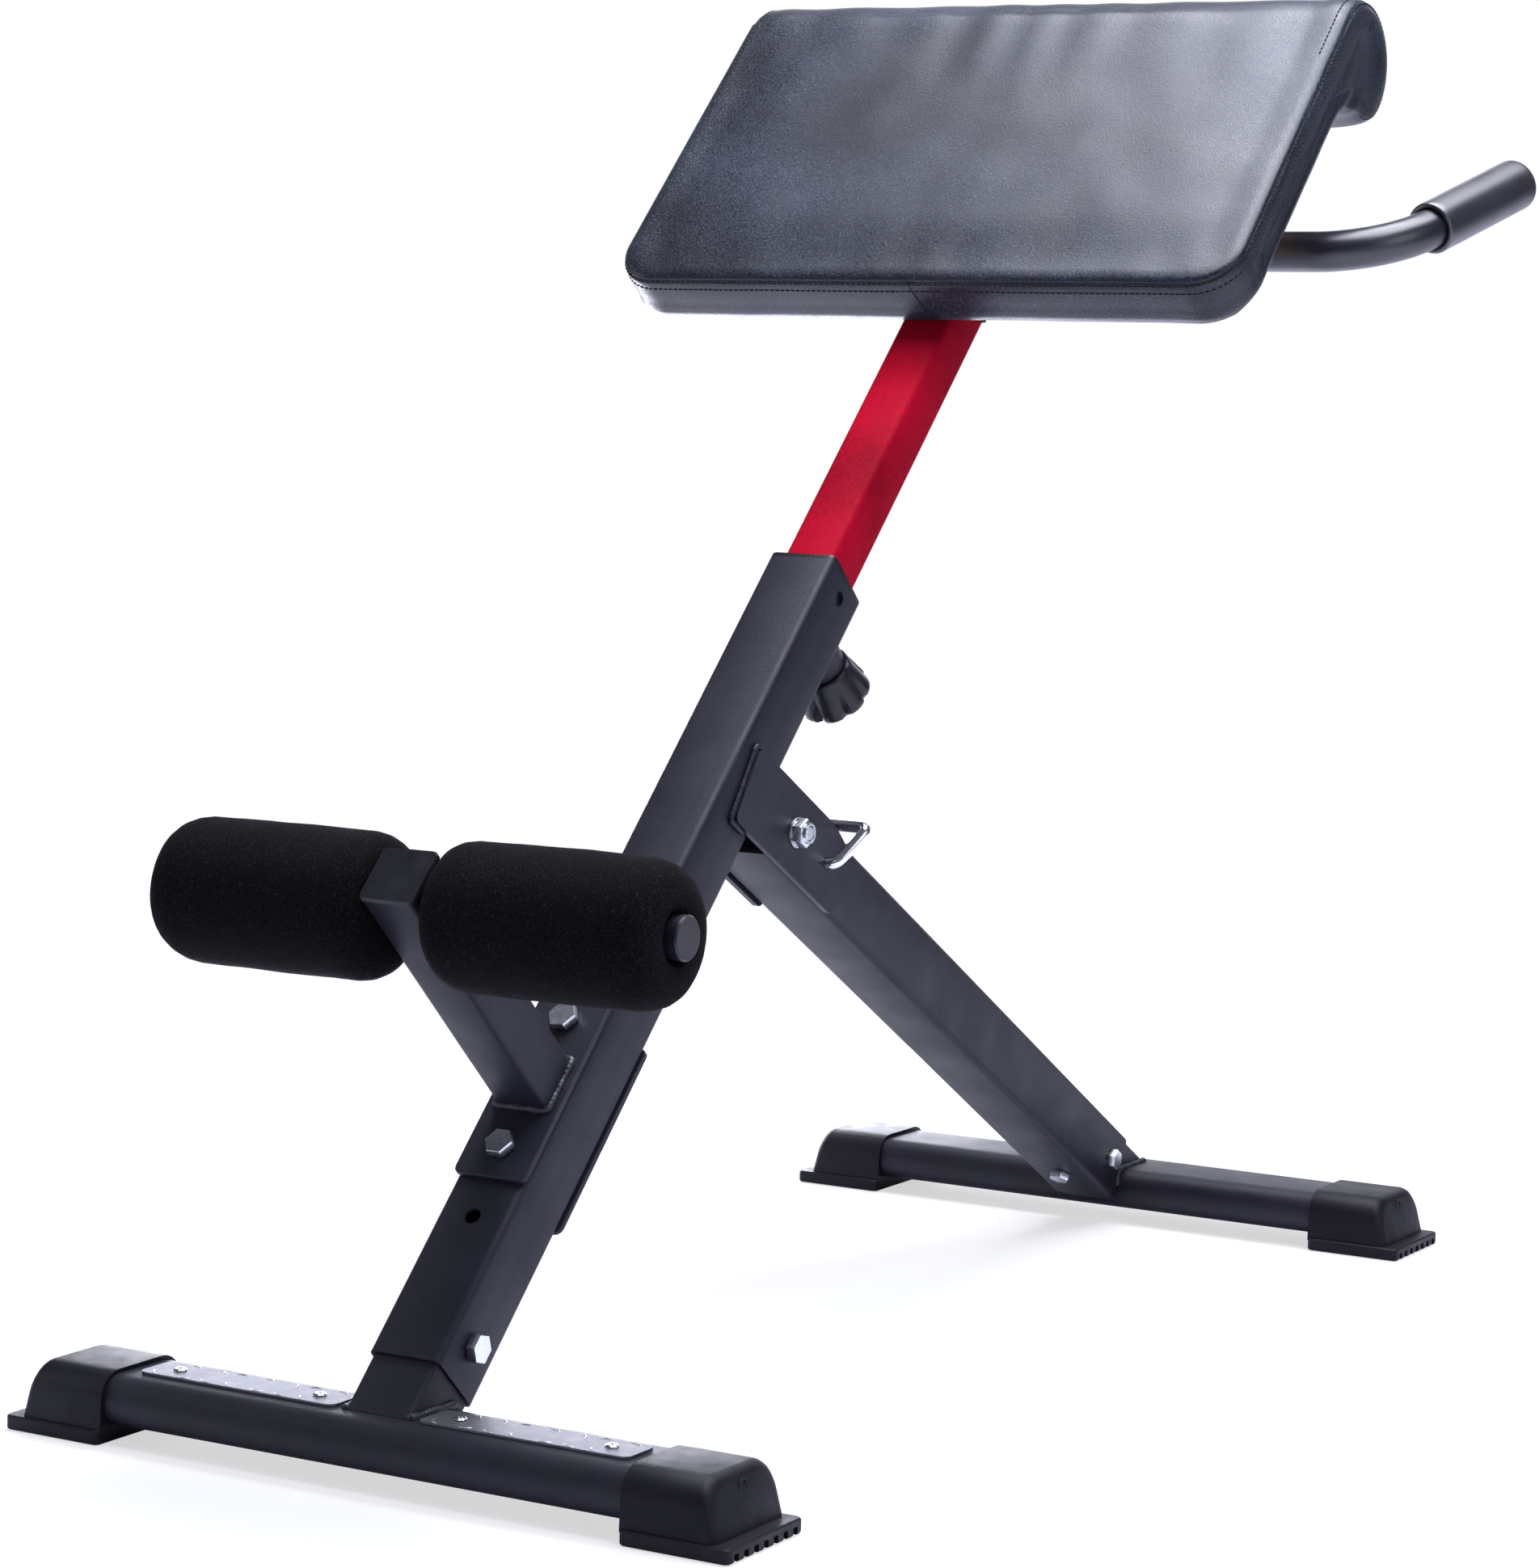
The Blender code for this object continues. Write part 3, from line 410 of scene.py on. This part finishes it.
def from_seam(x, up):
    """How far a point of the panel is in from the nearest edge seam."""
    side, corner_x, corner_up = HALF - abs(x), HALF - CORNER, LOW + CORNER
    if up >= corner_up:
        return max(0.0, side)
    if abs(x) > corner_x:
        return max(0.0, CORNER - math.hypot(abs(x) - corner_x, up - corner_up))
    return max(0.0, min(up - LOW, side))


def pad_ring(x, theta, inset_front, inset_back, inset_low):
    """One closed row round the pad, as (x, depth, up) points; theta turns round the lower corner."""
    low = LOW + CORNER * (1 - math.cos(theta)) + inset_low
    side = max(0.0, HALF - abs(x))
    sign = 1 if x >= 0 else -1
    back = BACK - inset_back
    ring = []
    # the band, from the back to the seam
    for t in BAND[::-1]:
        depth = min(SEAM + inset_front + t, back - 0.001)
        bulge = BULGE * math.sin(math.pi * min(1.0, t / 0.036)) ** 0.8 if inset_front == 0 else 0
        ring.append((x + sign * bulge * math.sin(theta), depth, low - bulge * math.cos(theta)))
    # the panel, up to the roll
    rest = ROLL_UP - low - NEAR[-1]
    for t in NEAR + [NEAR[-1] + rest * k / PANEL_STEPS for k in range(1, PANEL_STEPS + 1)]:
        ring.append((x, FRONT + inset_front + fall(from_seam(x, low + t)) + (EDGE - fall(0)), low + t))
    # the roll, which is a little slimmer at its ends
    inset = inset_front + fall(side) + 0.0016 * (1 - share(side, 0, 0.022)) ** 2
    end = 1 - share(side, 0, 0.05)
    for k in range(1, ROLL_STEPS + 1):
        angle = -math.pi / 2 + (WEB_FROM + math.pi / 2) * k / ROLL_STEPS
        up, depth = roll_point(angle, inset + 0.0030 * end * share(angle, 0.3, 1.7))
        ring.append((x, depth, up))
    # under the roll, down to the slab's back in a shallow hollow
    for k in range(1, WEB_STEPS + 1):
        t = k / WEB_STEPS
        hollow = 0.0035 * math.sin(math.pi * t)
        ring.append((x, depth + (back - depth) * t - hollow, up + (WEB_UP - up) * t + hollow))
    # the back, tucked in where the board stands proud of it
    for k in range(1, BACK_STEPS + 1):
        up = WEB_UP + (low + 0.004 - WEB_UP) * k / BACK_STEPS
        tucked = abs(x) < BOARD_HALF + 0.004 and up > BOARD_LOW - 0.004
        ring.append((x, back - TUCK * tucked, up))
    return ring + [(x, back - 0.0012, low + 0.0012)]


def pad_rows():
    """pad_ring's arguments for each row from the middle to the right end."""
    rows = [((HALF - CORNER) * k / 26, 0.0, 0.0, 0.0, 0.0) for k in range(27)]
    for k in range(1, 25):
        theta = math.pi / 2 * k / 24
        x = HALF - CORNER + CORNER * math.sin(theta)
        rows.append((x, theta, 0.0, 0.004 * share(math.sin(theta), 0.7, 1.0), 0.0))
    rows += [(HALF + out, math.pi / 2, inset, 0.004 + inset * 0.9, inset) for out, inset in END_ROWS]
    return rows


def seam_path(sign):
    """The edge seam from the middle of the lower edge, round the corner, up the side and round the roll."""
    path = [(sign * x, SEAM, LOW) for x in np.linspace(0, HALF - CORNER, 60)]
    path += [(sign * (HALF - CORNER + CORNER * math.sin(a)), SEAM, LOW + CORNER * (1 - math.cos(a)))
             for a in np.linspace(0, math.pi / 2, 14)[1:]]
    path += [(sign * HALF, SEAM, up) for up in np.linspace(LOW + CORNER, ROLL_UP, 60)[1:]]
    for a in np.linspace(-math.pi / 2, math.radians(150), 60)[1:]:
        up, depth = roll_point(a, EDGE)
        path.append((sign * HALF, depth, up))
    return [Vector(p) for p in path]


def tree_of(points):
    tree = kdtree.KDTree(len(points))
    for i, p in enumerate(points):
        tree.insert(p, i)
    tree.balance()
    return tree


def simulated(obj):
    """(points, offsets) of a coarse copy of the cover after the foam has pushed it out."""
    copy = linked("pad_trial", obj.data.copy())
    bpy.context.view_layer.objects.active = copy
    remesh = copy.modifiers.new("remesh", "REMESH")
    remesh.mode = "VOXEL"
    remesh.voxel_size = 0.0055
    bpy.ops.object.modifier_apply(modifier=remesh.name)
    rest = np.array([v.co for v in copy.data.vertices], float)
    held = copy.vertex_groups.new(name="held")
    for i, (x, depth, up) in enumerate(rest):
        back = depth > BACK - 0.006 and up < 1.085
        seam = min(abs(abs(x) - HALF), abs(up - LOW)) < 0.006 and depth < FRONT + 0.011
        held.add([i], 1.0 if back else (0.75 if seam else 0.02), "REPLACE")
    cloth = copy.modifiers.new("cloth", "CLOTH")
    sheet = cloth.settings
    sheet.quality = 6
    sheet.mass = 0.25
    sheet.tension_stiffness = sheet.compression_stiffness = 24
    sheet.shear_stiffness = 8
    sheet.bending_stiffness = 3
    sheet.use_pressure = True
    sheet.uniform_pressure_force = 4.0
    sheet.vertex_group_mass = "held"
    sheet.pin_stiffness = 0.6
    sheet.effector_weights.gravity = 0
    cloth.collision_settings.use_collision = False
    cloth.collision_settings.use_self_collision = False
    cloth.point_cache.frame_start, cloth.point_cache.frame_end = 1, CLOTH_FRAMES
    scene = bpy.context.scene
    for f in range(1, CLOTH_FRAMES + 1):
        scene.frame_set(f)
    shape = copy.evaluated_get(bpy.context.evaluated_depsgraph_get()).data
    moved = np.array([v.co for v in shape.vertices], float) - rest
    scene.frame_set(1)
    bpy.data.objects.remove(copy)
    length = np.linalg.norm(moved, axis=1, keepdims=True)
    return rest, moved * np.minimum(1.0, MOST_MOVED / np.maximum(length, 1e-9))


def spread(points, offsets, targets, count=8):
    """The offsets carried over to other points, by distance."""
    tree = tree_of(points)
    out = np.zeros((len(targets), 3))
    for i, t in enumerate(targets):
        found = tree.find_n(t, count)
        weights = np.array([1 / (d + 0.002) ** 2 for _, _, d in found])
        out[i] = (offsets[[j for _, j, _ in found]] * weights[:, None]).sum(0) / weights.sum()
    return out


def swelling(obj, base, normal, away, ring_size):
    """The foam's push on the free cover, the same on both sides, as an offset along each normal."""
    start = base - normal * 0.0020
    obj.data.vertices.foreach_set("co", start.ravel())
    obj.data.update()
    rest, moved = simulated(obj)
    swell = (spread(rest, moved, start) * normal).sum(1).reshape(-1, ring_size)
    swell = ((swell + swell[::-1]) / 2).ravel()
    free = np.clip(away / 0.03, 0, 1) * (base[:, 1] < BACK - 0.010)
    middle = np.median(swell[free > 0.9])
    return np.clip(0.6 * (swell - middle), -MOST_SWELL, MOST_SWELL) * free


def seam_shift(depth):
    """The lower band's middle seam drifts to the right towards the back."""
    return 0.001 + 0.010 * max(0.0, (depth - SEAM) / 0.038) ** 1.6


def middle_seam(x, depth, up):
    """How near a point of the lower band is to its middle seam, from 0 to 1."""
    return 0.0 if up > LOW + 0.004 else hump(x, seam_shift(depth), 0.0012)


def creases(x, depth, up, front, d):
    """The cover's fine relief at a point d metres from the edge seam; front is how far it faces forwards."""
    at_roll = hump(up, 1.120, 0.055) if depth < 0.03 else 0.0
    ripple = 0.00050 * math.sin(x * 118 + 1.6 * math.sin(x * 23) + 8 * (up - 1.1)) * at_roll
    gather = 0.00028 * math.sin(x * 96 + 2.1 * math.sin(x * 31)) * (hump(up, 0.884, 0.018) * front)
    wobble = 0.0006 * noise.noise(Vector((x, depth, up)) * 24)
    groove = -0.0010 * hump(d, 0, 0.0012) + 0.0003 * hump(d, 0.0042, 0.0022)
    # pinches where the roll's underside meets the slab, at each end
    pinched = hump(up, 1.082, 0.016) * hump(abs(x), HALF, 0.012) * (depth > -0.010)
    pinch = 0.0017 * math.sin(math.atan2(depth - ROLL_DEEP, up - ROLL_UP) * 13 + 2.0) * pinched
    return (ripple + gather + wobble) * (1 - hump(d, 0, 0.006)) + groove + pinch


def make_pad():
    """The sewn cover round the foam: its pattern, the foam's push, creases, and how it sits."""
    rows = pad_rows()
    rings = [pad_ring(*row) for row in [(-x, *others) for x, *others in rows[:0:-1]] + rows]
    ring_size = len(rings[0])
    obj = linked("pad_cover", smooth_mesh("pad_cover", *skin(rings)))
    mesh = obj.data
    base = np.array([v.co for v in mesh.vertices], float)
    normal = np.array([v.normal for v in mesh.vertices], float)
    seams = tree_of(seam_path(1) + seam_path(-1))
    away = np.array([seams.find(Vector(p))[2] for p in base])
    base += normal * swelling(obj, base, normal, away, ring_size)[:, None]
    for i, (x, depth, up) in enumerate(base.copy()):
        relief = -0.0009 * middle_seam(x, depth, up)
        if ring_size <= i < len(base) - ring_size:
            relief += creases(x, depth, up, max(0.0, -normal[i][1]), away[i])
        base[i] += normal[i] * relief
    # the cover is stuffed a little fuller at the roll's left end, and sits a little to the right
    rise = np.clip((base[:, 2] - 1.00) / 0.13, 0, 1) ** 2
    base[:, 2] += rise * (0.0008 - 0.0034 * base[:, 0] / HALF)
    base[:, 0] += 0.0011
    mesh.vertices.foreach_set("co", base.ravel())
    mesh.transform(POST)
    mesh.update()
    mesh.materials.append(MATERIALS["synthetic_leather"])
    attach(obj, "pad_post")
    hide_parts("pad_cushion")
    return obj


pad = make_pad()

# ---- stitches -------------------------------------------------------------------------------------
# a stitch's course: (how far along it, how high above the cover)
STITCH = [(0.0, -0.0004), (0.2, 0.00012), (0.5, 0.00028), (0.8, 0.00012), (1.0, -0.0004)]


def sewn(name, surface, paths, length=0.0030, gap=0.0012, radius=0.00055):
    """Rows of stitches laid on a surface: paths are point lists in the row frame."""
    tree = bvhtree.BVHTree.FromObject(surface, bpy.context.evaluated_depsgraph_get())
    verts, faces = [], []
    for path in paths:
        dots = resampled(path, (length + gap) / 2)
        for a, b in zip(dots[::2], dots[1::2]):
            way = (b - a).normalized()
            a, b = a - way * (length - gap) / 4, b + way * (length - gap) / 4
            line = []
            for along, lift in STITCH:
                place, normal, _, _ = tree.find_nearest(a.lerp(b, along))
                line.append(place + normal * lift)
            joined(verts, faces, skin(tube(line, radius, 6)))
    return piece(name, verts, faces, WORLD, "synthetic_leather", "pad_post", THREAD)


def band_path(sign, offset):
    """A line on the side band, offset behind the seam, as far as the roll."""
    return [p + Vector((0, offset, 0)) for p in seam_path(sign) if p.z <= 1.10 and p.y <= SEAM + 0.001]


def roll_path(sign, inset):
    """A line on the roll, inset from its end seam."""
    x = sign * (HALF - inset)
    path = [Vector((x, FRONT + fall(inset), up)) for up in np.linspace(1.083, ROLL_UP, 10)]
    for a in np.linspace(-math.pi / 2, math.radians(120), 50)[1:]:
        up, depth = roll_point(a, fall(inset))
        path.append(Vector((x, depth, up)))
    return path


def in_row(points):
    return [POST @ p for p in points]


stitched, edges = [], []
for sign, _ in SIDES:
    stitched.append(in_row(band_path(sign, 0.0016)))
    stitched.append(in_row(band_path(sign, 0.0078)))
    stitched.append(in_row(roll_path(sign, 0.0070)))
    edges.append(in_row(p + Vector((sign * 0.0011, 0, 0)) for p in seam_path(sign)))
middle = in_row(Vector((seam_shift(d), d, LOW - 0.0005)) for d in np.linspace(SEAM, BACK - 0.003, 30))
sewn("pad_stitches", pad, stitched)
sewn("pad_edge_seam", pad, edges, 0.0050, -0.0010, 0.00042)
sewn("pad_middle_seam", pad, [middle], 0.0040, -0.0010, 0.00035)

# ---- foam rollers -------------------------------------------------------------------------------
AXLE = POST @ at(0, -0.172, ARM_UP) @ TO_X
FOAM_R, FOAM_START, FOAM_END, FOAM_BORE = 0.0440, 0.0215, 0.1765, 0.0129


def foam_profile():
    """(radius, distance from the arm's middle) round half a section: inner end, outside, outer end, bore."""
    r, a, b, bore = FOAM_R, FOAM_START, FOAM_END, FOAM_BORE
    start, length = a + 0.017, b - 0.022 - a - 0.017
    profile = [(bore, a + 0.001), (bore + 0.0012, a), (r - 0.016, a), (r - 0.011, a + 0.0007),
               (r - 0.0065, a + 0.0028), (r - 0.0030, a + 0.0064), (r - 0.0009, a + 0.0112), (r, start)]
    profile += [(r + 0.0004 * math.sin(math.pi * k / 18), start + length * k / 18) for k in range(1, 18)]
    profile += [(r, b - 0.022), (r - 0.0009, b - 0.0165), (r - 0.0028, b - 0.0112), (r - 0.0058, b - 0.0066),
                (r - 0.0100, b - 0.0033), (r - 0.0150, b - 0.0013), (r - 0.0200, b - 0.0005),
                (r - 0.0255, b - 0.0005), (bore + 0.0040, b - 0.0014), (bore + 0.0026, b - 0.0034),
                (bore + 0.0018, b - 0.0070), (bore, b - 0.0090)]
    return profile


def foam_roller(tag, sign):
    """A foam roller with an uneven skin, and its bore left round."""
    rings = turned(foam_profile(), 72)
    for ring in rings:
        for k, place in enumerate(ring):
            v = Vector(place)
            out = Vector((v.x, v.y, 0))
            if out.length > FOAM_BORE + 0.002:
                broad = 0.0006 * noise.noise(v * 30 + Vector((sign, 0, 0)) * 5)
                v += out.normalized() * (broad + 0.00018 * noise.noise(v * 210))
            ring[k] = v
    turn = AXLE if sign > 0 else AXLE @ Matrix.Rotation(math.pi, 4, "X")
    verts, faces = skin(rings, closed=True)
    roller = piece(f"roller_foam_{tag}", verts, faces, turn, "foam_black", f"roller_{tag}",
                   replaced=[f"foam_roller_{tag}"])


for sign, tag in SIDES:
    foam_roller(tag, sign)

# ---- handlebar and grips --------------------------------------------------------------------------
BAR = Matrix.Translation((POST @ at(0, 0.0583, BAR_UP)).translation)
BAR_HALF = 0.236           # from the middle to where the bar starts to bend
BEND_R, BEND, RISE = 0.067, math.radians(76.3), math.radians(20.0)
BAR_R, GRIP_R, GRIP_L = 0.014, 0.0183, 0.108
GRIP_END = 0.006           # thickness of the grip's closed end, and radius of its edge
BAR_BACK = Vector((0, math.cos(RISE), math.sin(RISE)))


def bar_line(sign):
    """(points, direction at the end) of the bar's middle line, from its middle to the end of its bend."""
    x = Vector((sign, 0, 0))
    line = [x * BAR_HALF * k / 12 for k in range(13)]
    for k in range(1, 25):
        a = BEND * k / 24
        line.append(x * (BAR_HALF + BEND_R * math.sin(a)) + BAR_BACK * (BEND_R - BEND_R * math.cos(a)))
    return line, x * math.cos(BEND) + BAR_BACK * math.sin(BEND)


def half_bar(sign):
    """The same line, and the straight inside the grip."""
    line, way = bar_line(sign)
    return line + [line[-1] + way * (GRIP_L - GRIP_END) * k / 4 for k in range(1, 5)]


def grip_profile():
    """(radius, height) of a grip round half a section, from its open end."""
    inside = BAR_R + 0.0003
    profile = [(inside, 0.0016), (inside + 0.0004, 0.0006), (GRIP_R - 0.0012, 0), (GRIP_R - 0.0003, 0.0005),
               (GRIP_R, 0.0016)]
    profile += [(GRIP_R, 0.0016 + (GRIP_L - 0.0085) * k / 20) for k in range(1, 20)]
    profile += [(GRIP_R, GRIP_L - 0.0069)]
    profile += [(GRIP_R - GRIP_END + GRIP_END * math.cos(a), GRIP_L - GRIP_END + GRIP_END * math.sin(a))
                for a in (0.2, 0.45, 0.7, 0.95, 1.2, 1.4, 1.5708)]
    return profile + [(0.0030, GRIP_L), (0.0022, GRIP_L - 0.0010), (0.0022, GRIP_L - 0.0052),
                      (0.004, GRIP_L - 0.0062), (inside, GRIP_L - 0.0062)]


verts, faces = skin(tube(half_bar(-1)[:0:-1] + half_bar(1), BAR_R, 40))
piece("bar_tube", verts, faces, BAR, "powder_coat_black", "pad_post", BAR_COAT, ["handlebar"])
for sign, tag in SIDES:
    line, way = bar_line(sign)
    place = BAR @ Matrix.Translation(line[-1]) @ way.to_track_quat("Z", "Y").to_matrix().to_4x4()
    verts, faces = skin(turned(grip_profile(), 56), closed=True)
    piece(f"grip_{tag}", verts, faces, place, "grip_pvc", "pad_post", replaced=[f"hand_grip_{tag}"])

# ---- weld beads, with the ripples a torch leaves ----------------------------------------------------
BEAD_STEP, RIPPLE_PITCH = 0.0008, 0.0034


def bead(name, body, path, matrix, radius, mat=WELD):
    """A weld bead along a path in the matrix's frame."""
    points = resampled([matrix @ Vector(p) for p in softened(path, 0.003)], BEAD_STEP)

    def size(i):
        scallop = abs(math.sin(math.pi * i * BEAD_STEP / RIPPLE_PITCH))
        return radius * (0.90 + 0.10 * scallop + 0.34 * noise.noise(points[i] * 140))

    verts, faces = skin(tube(points, size, 12))
    piece(name, verts, faces, WORLD, "powder_coat_black", body, mat)


ARM_REACH = 0.0192         # half the width of the roller arm's outline on its bracket
for sign, tag in SIDES:
    x = sign * 0.0232
    bead(f"weld_front_stub_{tag}", "frame",
         [(x, -0.4885, 0.0406), (x, -0.4435, 0.0407), (x, -0.4408, 0.0375), (x, -0.4408, 0.0265)],
         WORLD, 0.0030)
    bead(f"weld_rear_stub_{tag}", "strut",
         [(x, 0.4420, 0.0290), (x, 0.4418, 0.0375), (x, 0.4445, 0.0407), (x, 0.4890, 0.0406)],
         WORLD, 0.0028)
for sign, tag in SIDES:
    x, low, high = sign * ARM_REACH, ARM_UP - ARM_REACH, ARM_UP + ARM_REACH
    bead(f"weld_arm_{tag}", "frame",
         [(0, -0.0050, low), (x, -0.0050, low), (x, -0.0050, high), (0, -0.0050, high)], POST, 0.0026)
BARREL_R = 0.0177
ring = [(BARREL_R * math.cos(a), 0.0509, BARREL_UP + BARREL_R * math.sin(a))
        for a in np.linspace(0, 2 * math.pi, 40)]
bead("weld_pin_barrel", "frame", ring, POST, 0.0018)
for k, up in enumerate((BAR_UP - 0.0068, BAR_UP + 0.0068)):
    bead(f"weld_handlebar_{k}", "pad_post", [(-0.0175, 0.0456, up), (0.0175, 0.0456, up)], POST, 0.0026)
# the pivot plates' beads, along the edge that crosses the post's side and round both its ends
for sign, tag in SIDES:
    x = sign * 0.0264
    bead(f"weld_pivot_{tag}", "frame",
         [(x, 0.0285, 0.0560), (x, 0.0280, 0.0715), (x, -0.0275, 0.0750), (x, -0.0280, 0.0560)],
         STRUT, 0.0019, MATERIALS["powder_coat_black"])

# ---- raised crescents on the step plates, and the moulding mark on each foot's end -------------------
MARKS, MARK_R, MARK_MARGIN, MARK_OFFSET = 14, 0.0062, 0.013, 0.0072
FOOT_END, FOOT_DRAFT, RING_R, RING_UP = 0.2402, 0.000396, 0.0042, 0.0330


def crescent(middle, lean):
    """A thin raised arc round the middle, thickest halfway along."""
    arc = [middle + Vector((MARK_R * math.cos(a), MARK_R * math.sin(a), 0))
           for a in np.linspace(lean - 0.85, lean + 0.85, 14)]
    return skin(tube(arc, lambda i: 0.00012 + 0.00042 * math.sin(math.pi * i / 13), 8))


for _, tag in SIDES:
    low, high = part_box(f"step_plate_{tag}")
    verts, faces = [], []
    for k in range(MARKS):
        x = low[0] + MARK_MARGIN + (high[0] - low[0] - 2 * MARK_MARGIN) * k / (MARKS - 1)
        y = (low[1] + high[1]) / 2 + (MARK_OFFSET if k % 2 else -MARK_OFFSET)
        lean = math.radians(40 if k % 2 else -140) + 0.5 * (k % 3)
        joined(verts, faces, crescent(Vector((x, y, high[2] - 0.0001)), lean))
    piece(f"tread_marks_{tag}", verts, faces, WORLD, "step_plate_steel", "frame", CRESTS)
for label, body in (("front", "frame"), ("rear", "strut")):
    for sign, tag in SIDES:
        low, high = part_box(f"foot_{label}_{tag}")
        y = (low[1] + high[1]) / 2
        circle = [(sign * (FOOT_END - FOOT_DRAFT * math.sin(a)), y + RING_R * math.cos(a),
                   RING_UP + RING_R * math.sin(a)) for a in np.linspace(0, 2 * math.pi, 33)[:-1]]
        verts, faces = skin(tube(circle, 0.0006, 8, closed=True), closed=True)
        piece(f"foot_mark_{label}_{tag}", verts, faces, WORLD, "foot_pvc", body)

# ---- camera at the photograph's angle ---------------------------------------------------------------
CAMERA_AT, LENS, SENSOR = (1.3897, -2.4122, 0.6488), 95.62, 36
azimuth, elevation, tip = (math.radians(v) for v in (30.53, 5.72, 1.17))
across = Vector((math.cos(azimuth), math.sin(azimuth), 0))
back = Vector((math.sin(azimuth) * math.cos(elevation), -math.cos(azimuth) * math.cos(elevation),
               math.sin(elevation)))
up = back.cross(across)
across, up = across * math.cos(tip) + up * math.sin(tip), up * math.cos(tip) - across * math.sin(tip)
camera = linked("camera", bpy.data.cameras.new("camera"))
camera.data.lens, camera.data.sensor_width = LENS, SENSOR
camera.matrix_world = at(*CAMERA_AT) @ Matrix((across, up, back)).transposed().to_4x4()
bpy.context.scene.camera = camera

# ---- pale floor, white backdrop and soft studio light -----------------------------------------------
world = bpy.data.worlds.new("studio")
world.use_nodes = True
world.node_tree.nodes["Background"].inputs["Color"].default_value = (0.78, 0.80, 1.0, 1)
world.node_tree.nodes["Background"].inputs["Strength"].default_value = 0.17
bpy.context.scene.world = world
bpy.context.scene.view_settings.view_transform = "Standard"


def staged(name, mesh, mat, camera_rays, other_rays):
    """A piece of the set, which casts no shadow and which only these rays see."""
    mesh.materials.append(mat)
    obj = linked(name, mesh)
    obj.visible_camera = camera_rays
    obj.visible_diffuse = obj.visible_glossy = obj.visible_transmission = other_rays
    obj.visible_shadow = False


def sheet(name, z, half):
    corners = [(-half, -half, z), (half, -half, z), (half, half, z), (-half, half, z)]
    mesh = bpy.data.meshes.new(name)
    mesh.from_pydata(corners, [], [(0, 1, 2, 3)])
    return mesh


def lit_surface(s, shader):
    s.tree.links.new(shader.outputs[0], s.tree.nodes["Material Output"].inputs["Surface"])
    return s.mat


def glow(name, near=None, far=None):
    """Plain white light, clear inside the near radius if one is given."""
    s = Shader(name, (1, 1, 1), 1.0)
    light = s.node("Emission", Color=(1, 1, 1, 1), Strength=1.0)
    if near is None:
        return lit_surface(s, light)
    reach = s.node("VectorMath", _0=s.place)
    reach.operation = "LENGTH"
    part = s.node("MapRange", Value=reach.outputs["Value"], From_Min=near, From_Max=far)
    part.interpolation_type = "SMOOTHSTEP"
    clear = s.node("BsdfTransparent")
    return lit_surface(s, s.node("MixShader", _0=part.outputs[0], _1=clear.outputs[0], _2=light.outputs[0]))


def pale_floor():
    """A pale floor which is partly lit from within, so that only soft shadows show on it."""
    s = Shader("floor_pale", (0.86, 0.86, 0.87), 0.9, Specular_IOR_Level=0.1)
    s.drive("Base Color", s.ramp(s.noise(3, 2), [(0.2, 0.85), (0.8, 0.87)]))
    light = s.node("Emission", Color=(1, 1, 1, 1), Strength=1.0)
    return lit_surface(s, s.node("MixShader", _0=0.62, _1=s.bsdf.outputs[0], _2=light.outputs[0]))


bounce = Shader("floor_bounce", (0.74, 0.74, 0.82), 0.9, Specular_IOR_Level=0.0).mat
staged("floor", sheet("floor", -0.0005, 12), pale_floor(), True, False)
staged("floor_below", sheet("floor_below", -0.0010, 6), bounce, False, True)
staged("floor_far", sheet("floor_far", -0.0003, 12), glow("white_far", 1.3, 2.6), True, False)
dome = bpy.data.meshes.new("backdrop")
bm = bmesh.new()
bmesh.ops.create_icosphere(bm, subdivisions=3, radius=11)
bm.to_mesh(dome)
bm.free()
staged("backdrop", dome, glow("white_back"), True, False)


def softbox(name, place, target, size, power):
    """An area light that points from its place at its target."""
    lamp = bpy.data.lights.new(name, "AREA")
    lamp.shape = "RECTANGLE"
    lamp.size, lamp.size_y = size
    lamp.energy = power
    lamp.color = (0.87, 0.89, 1.0)
    obj = linked(name, lamp)
    obj.location = place
    obj.rotation_euler = (Vector(target) - Vector(place)).to_track_quat("-Z", "Y").to_euler()
    obj.visible_camera = False


softbox("overhead", (0.58, 0.3, 3.2), (0.58, 0.3, 0.0), (2.3, 2.6), 185)
softbox("back_left", (-1.6, 3.4, 1.3), (-0.2, 0.0, 0.5), (4.2, 2.4), 48)
softbox("right", (3.2, -1.0, 1.5), (0.0, 0.0, 0.5), (2.0, 2.0), 22)
softbox("left", (-3.0, -1.6, 1.4), (0.0, -0.2, 0.4), (1.6, 2.0), 20)
softbox("pad_key", (-0.42, 0.55, 2.7), (0.20, 0.2, 0.9), (0.8, 0.8), 32)
softbox("floor_card", (-0.75, 0.80, 0.03), (0.0, 0.15, 0.30), (0.9, 0.9), 26)
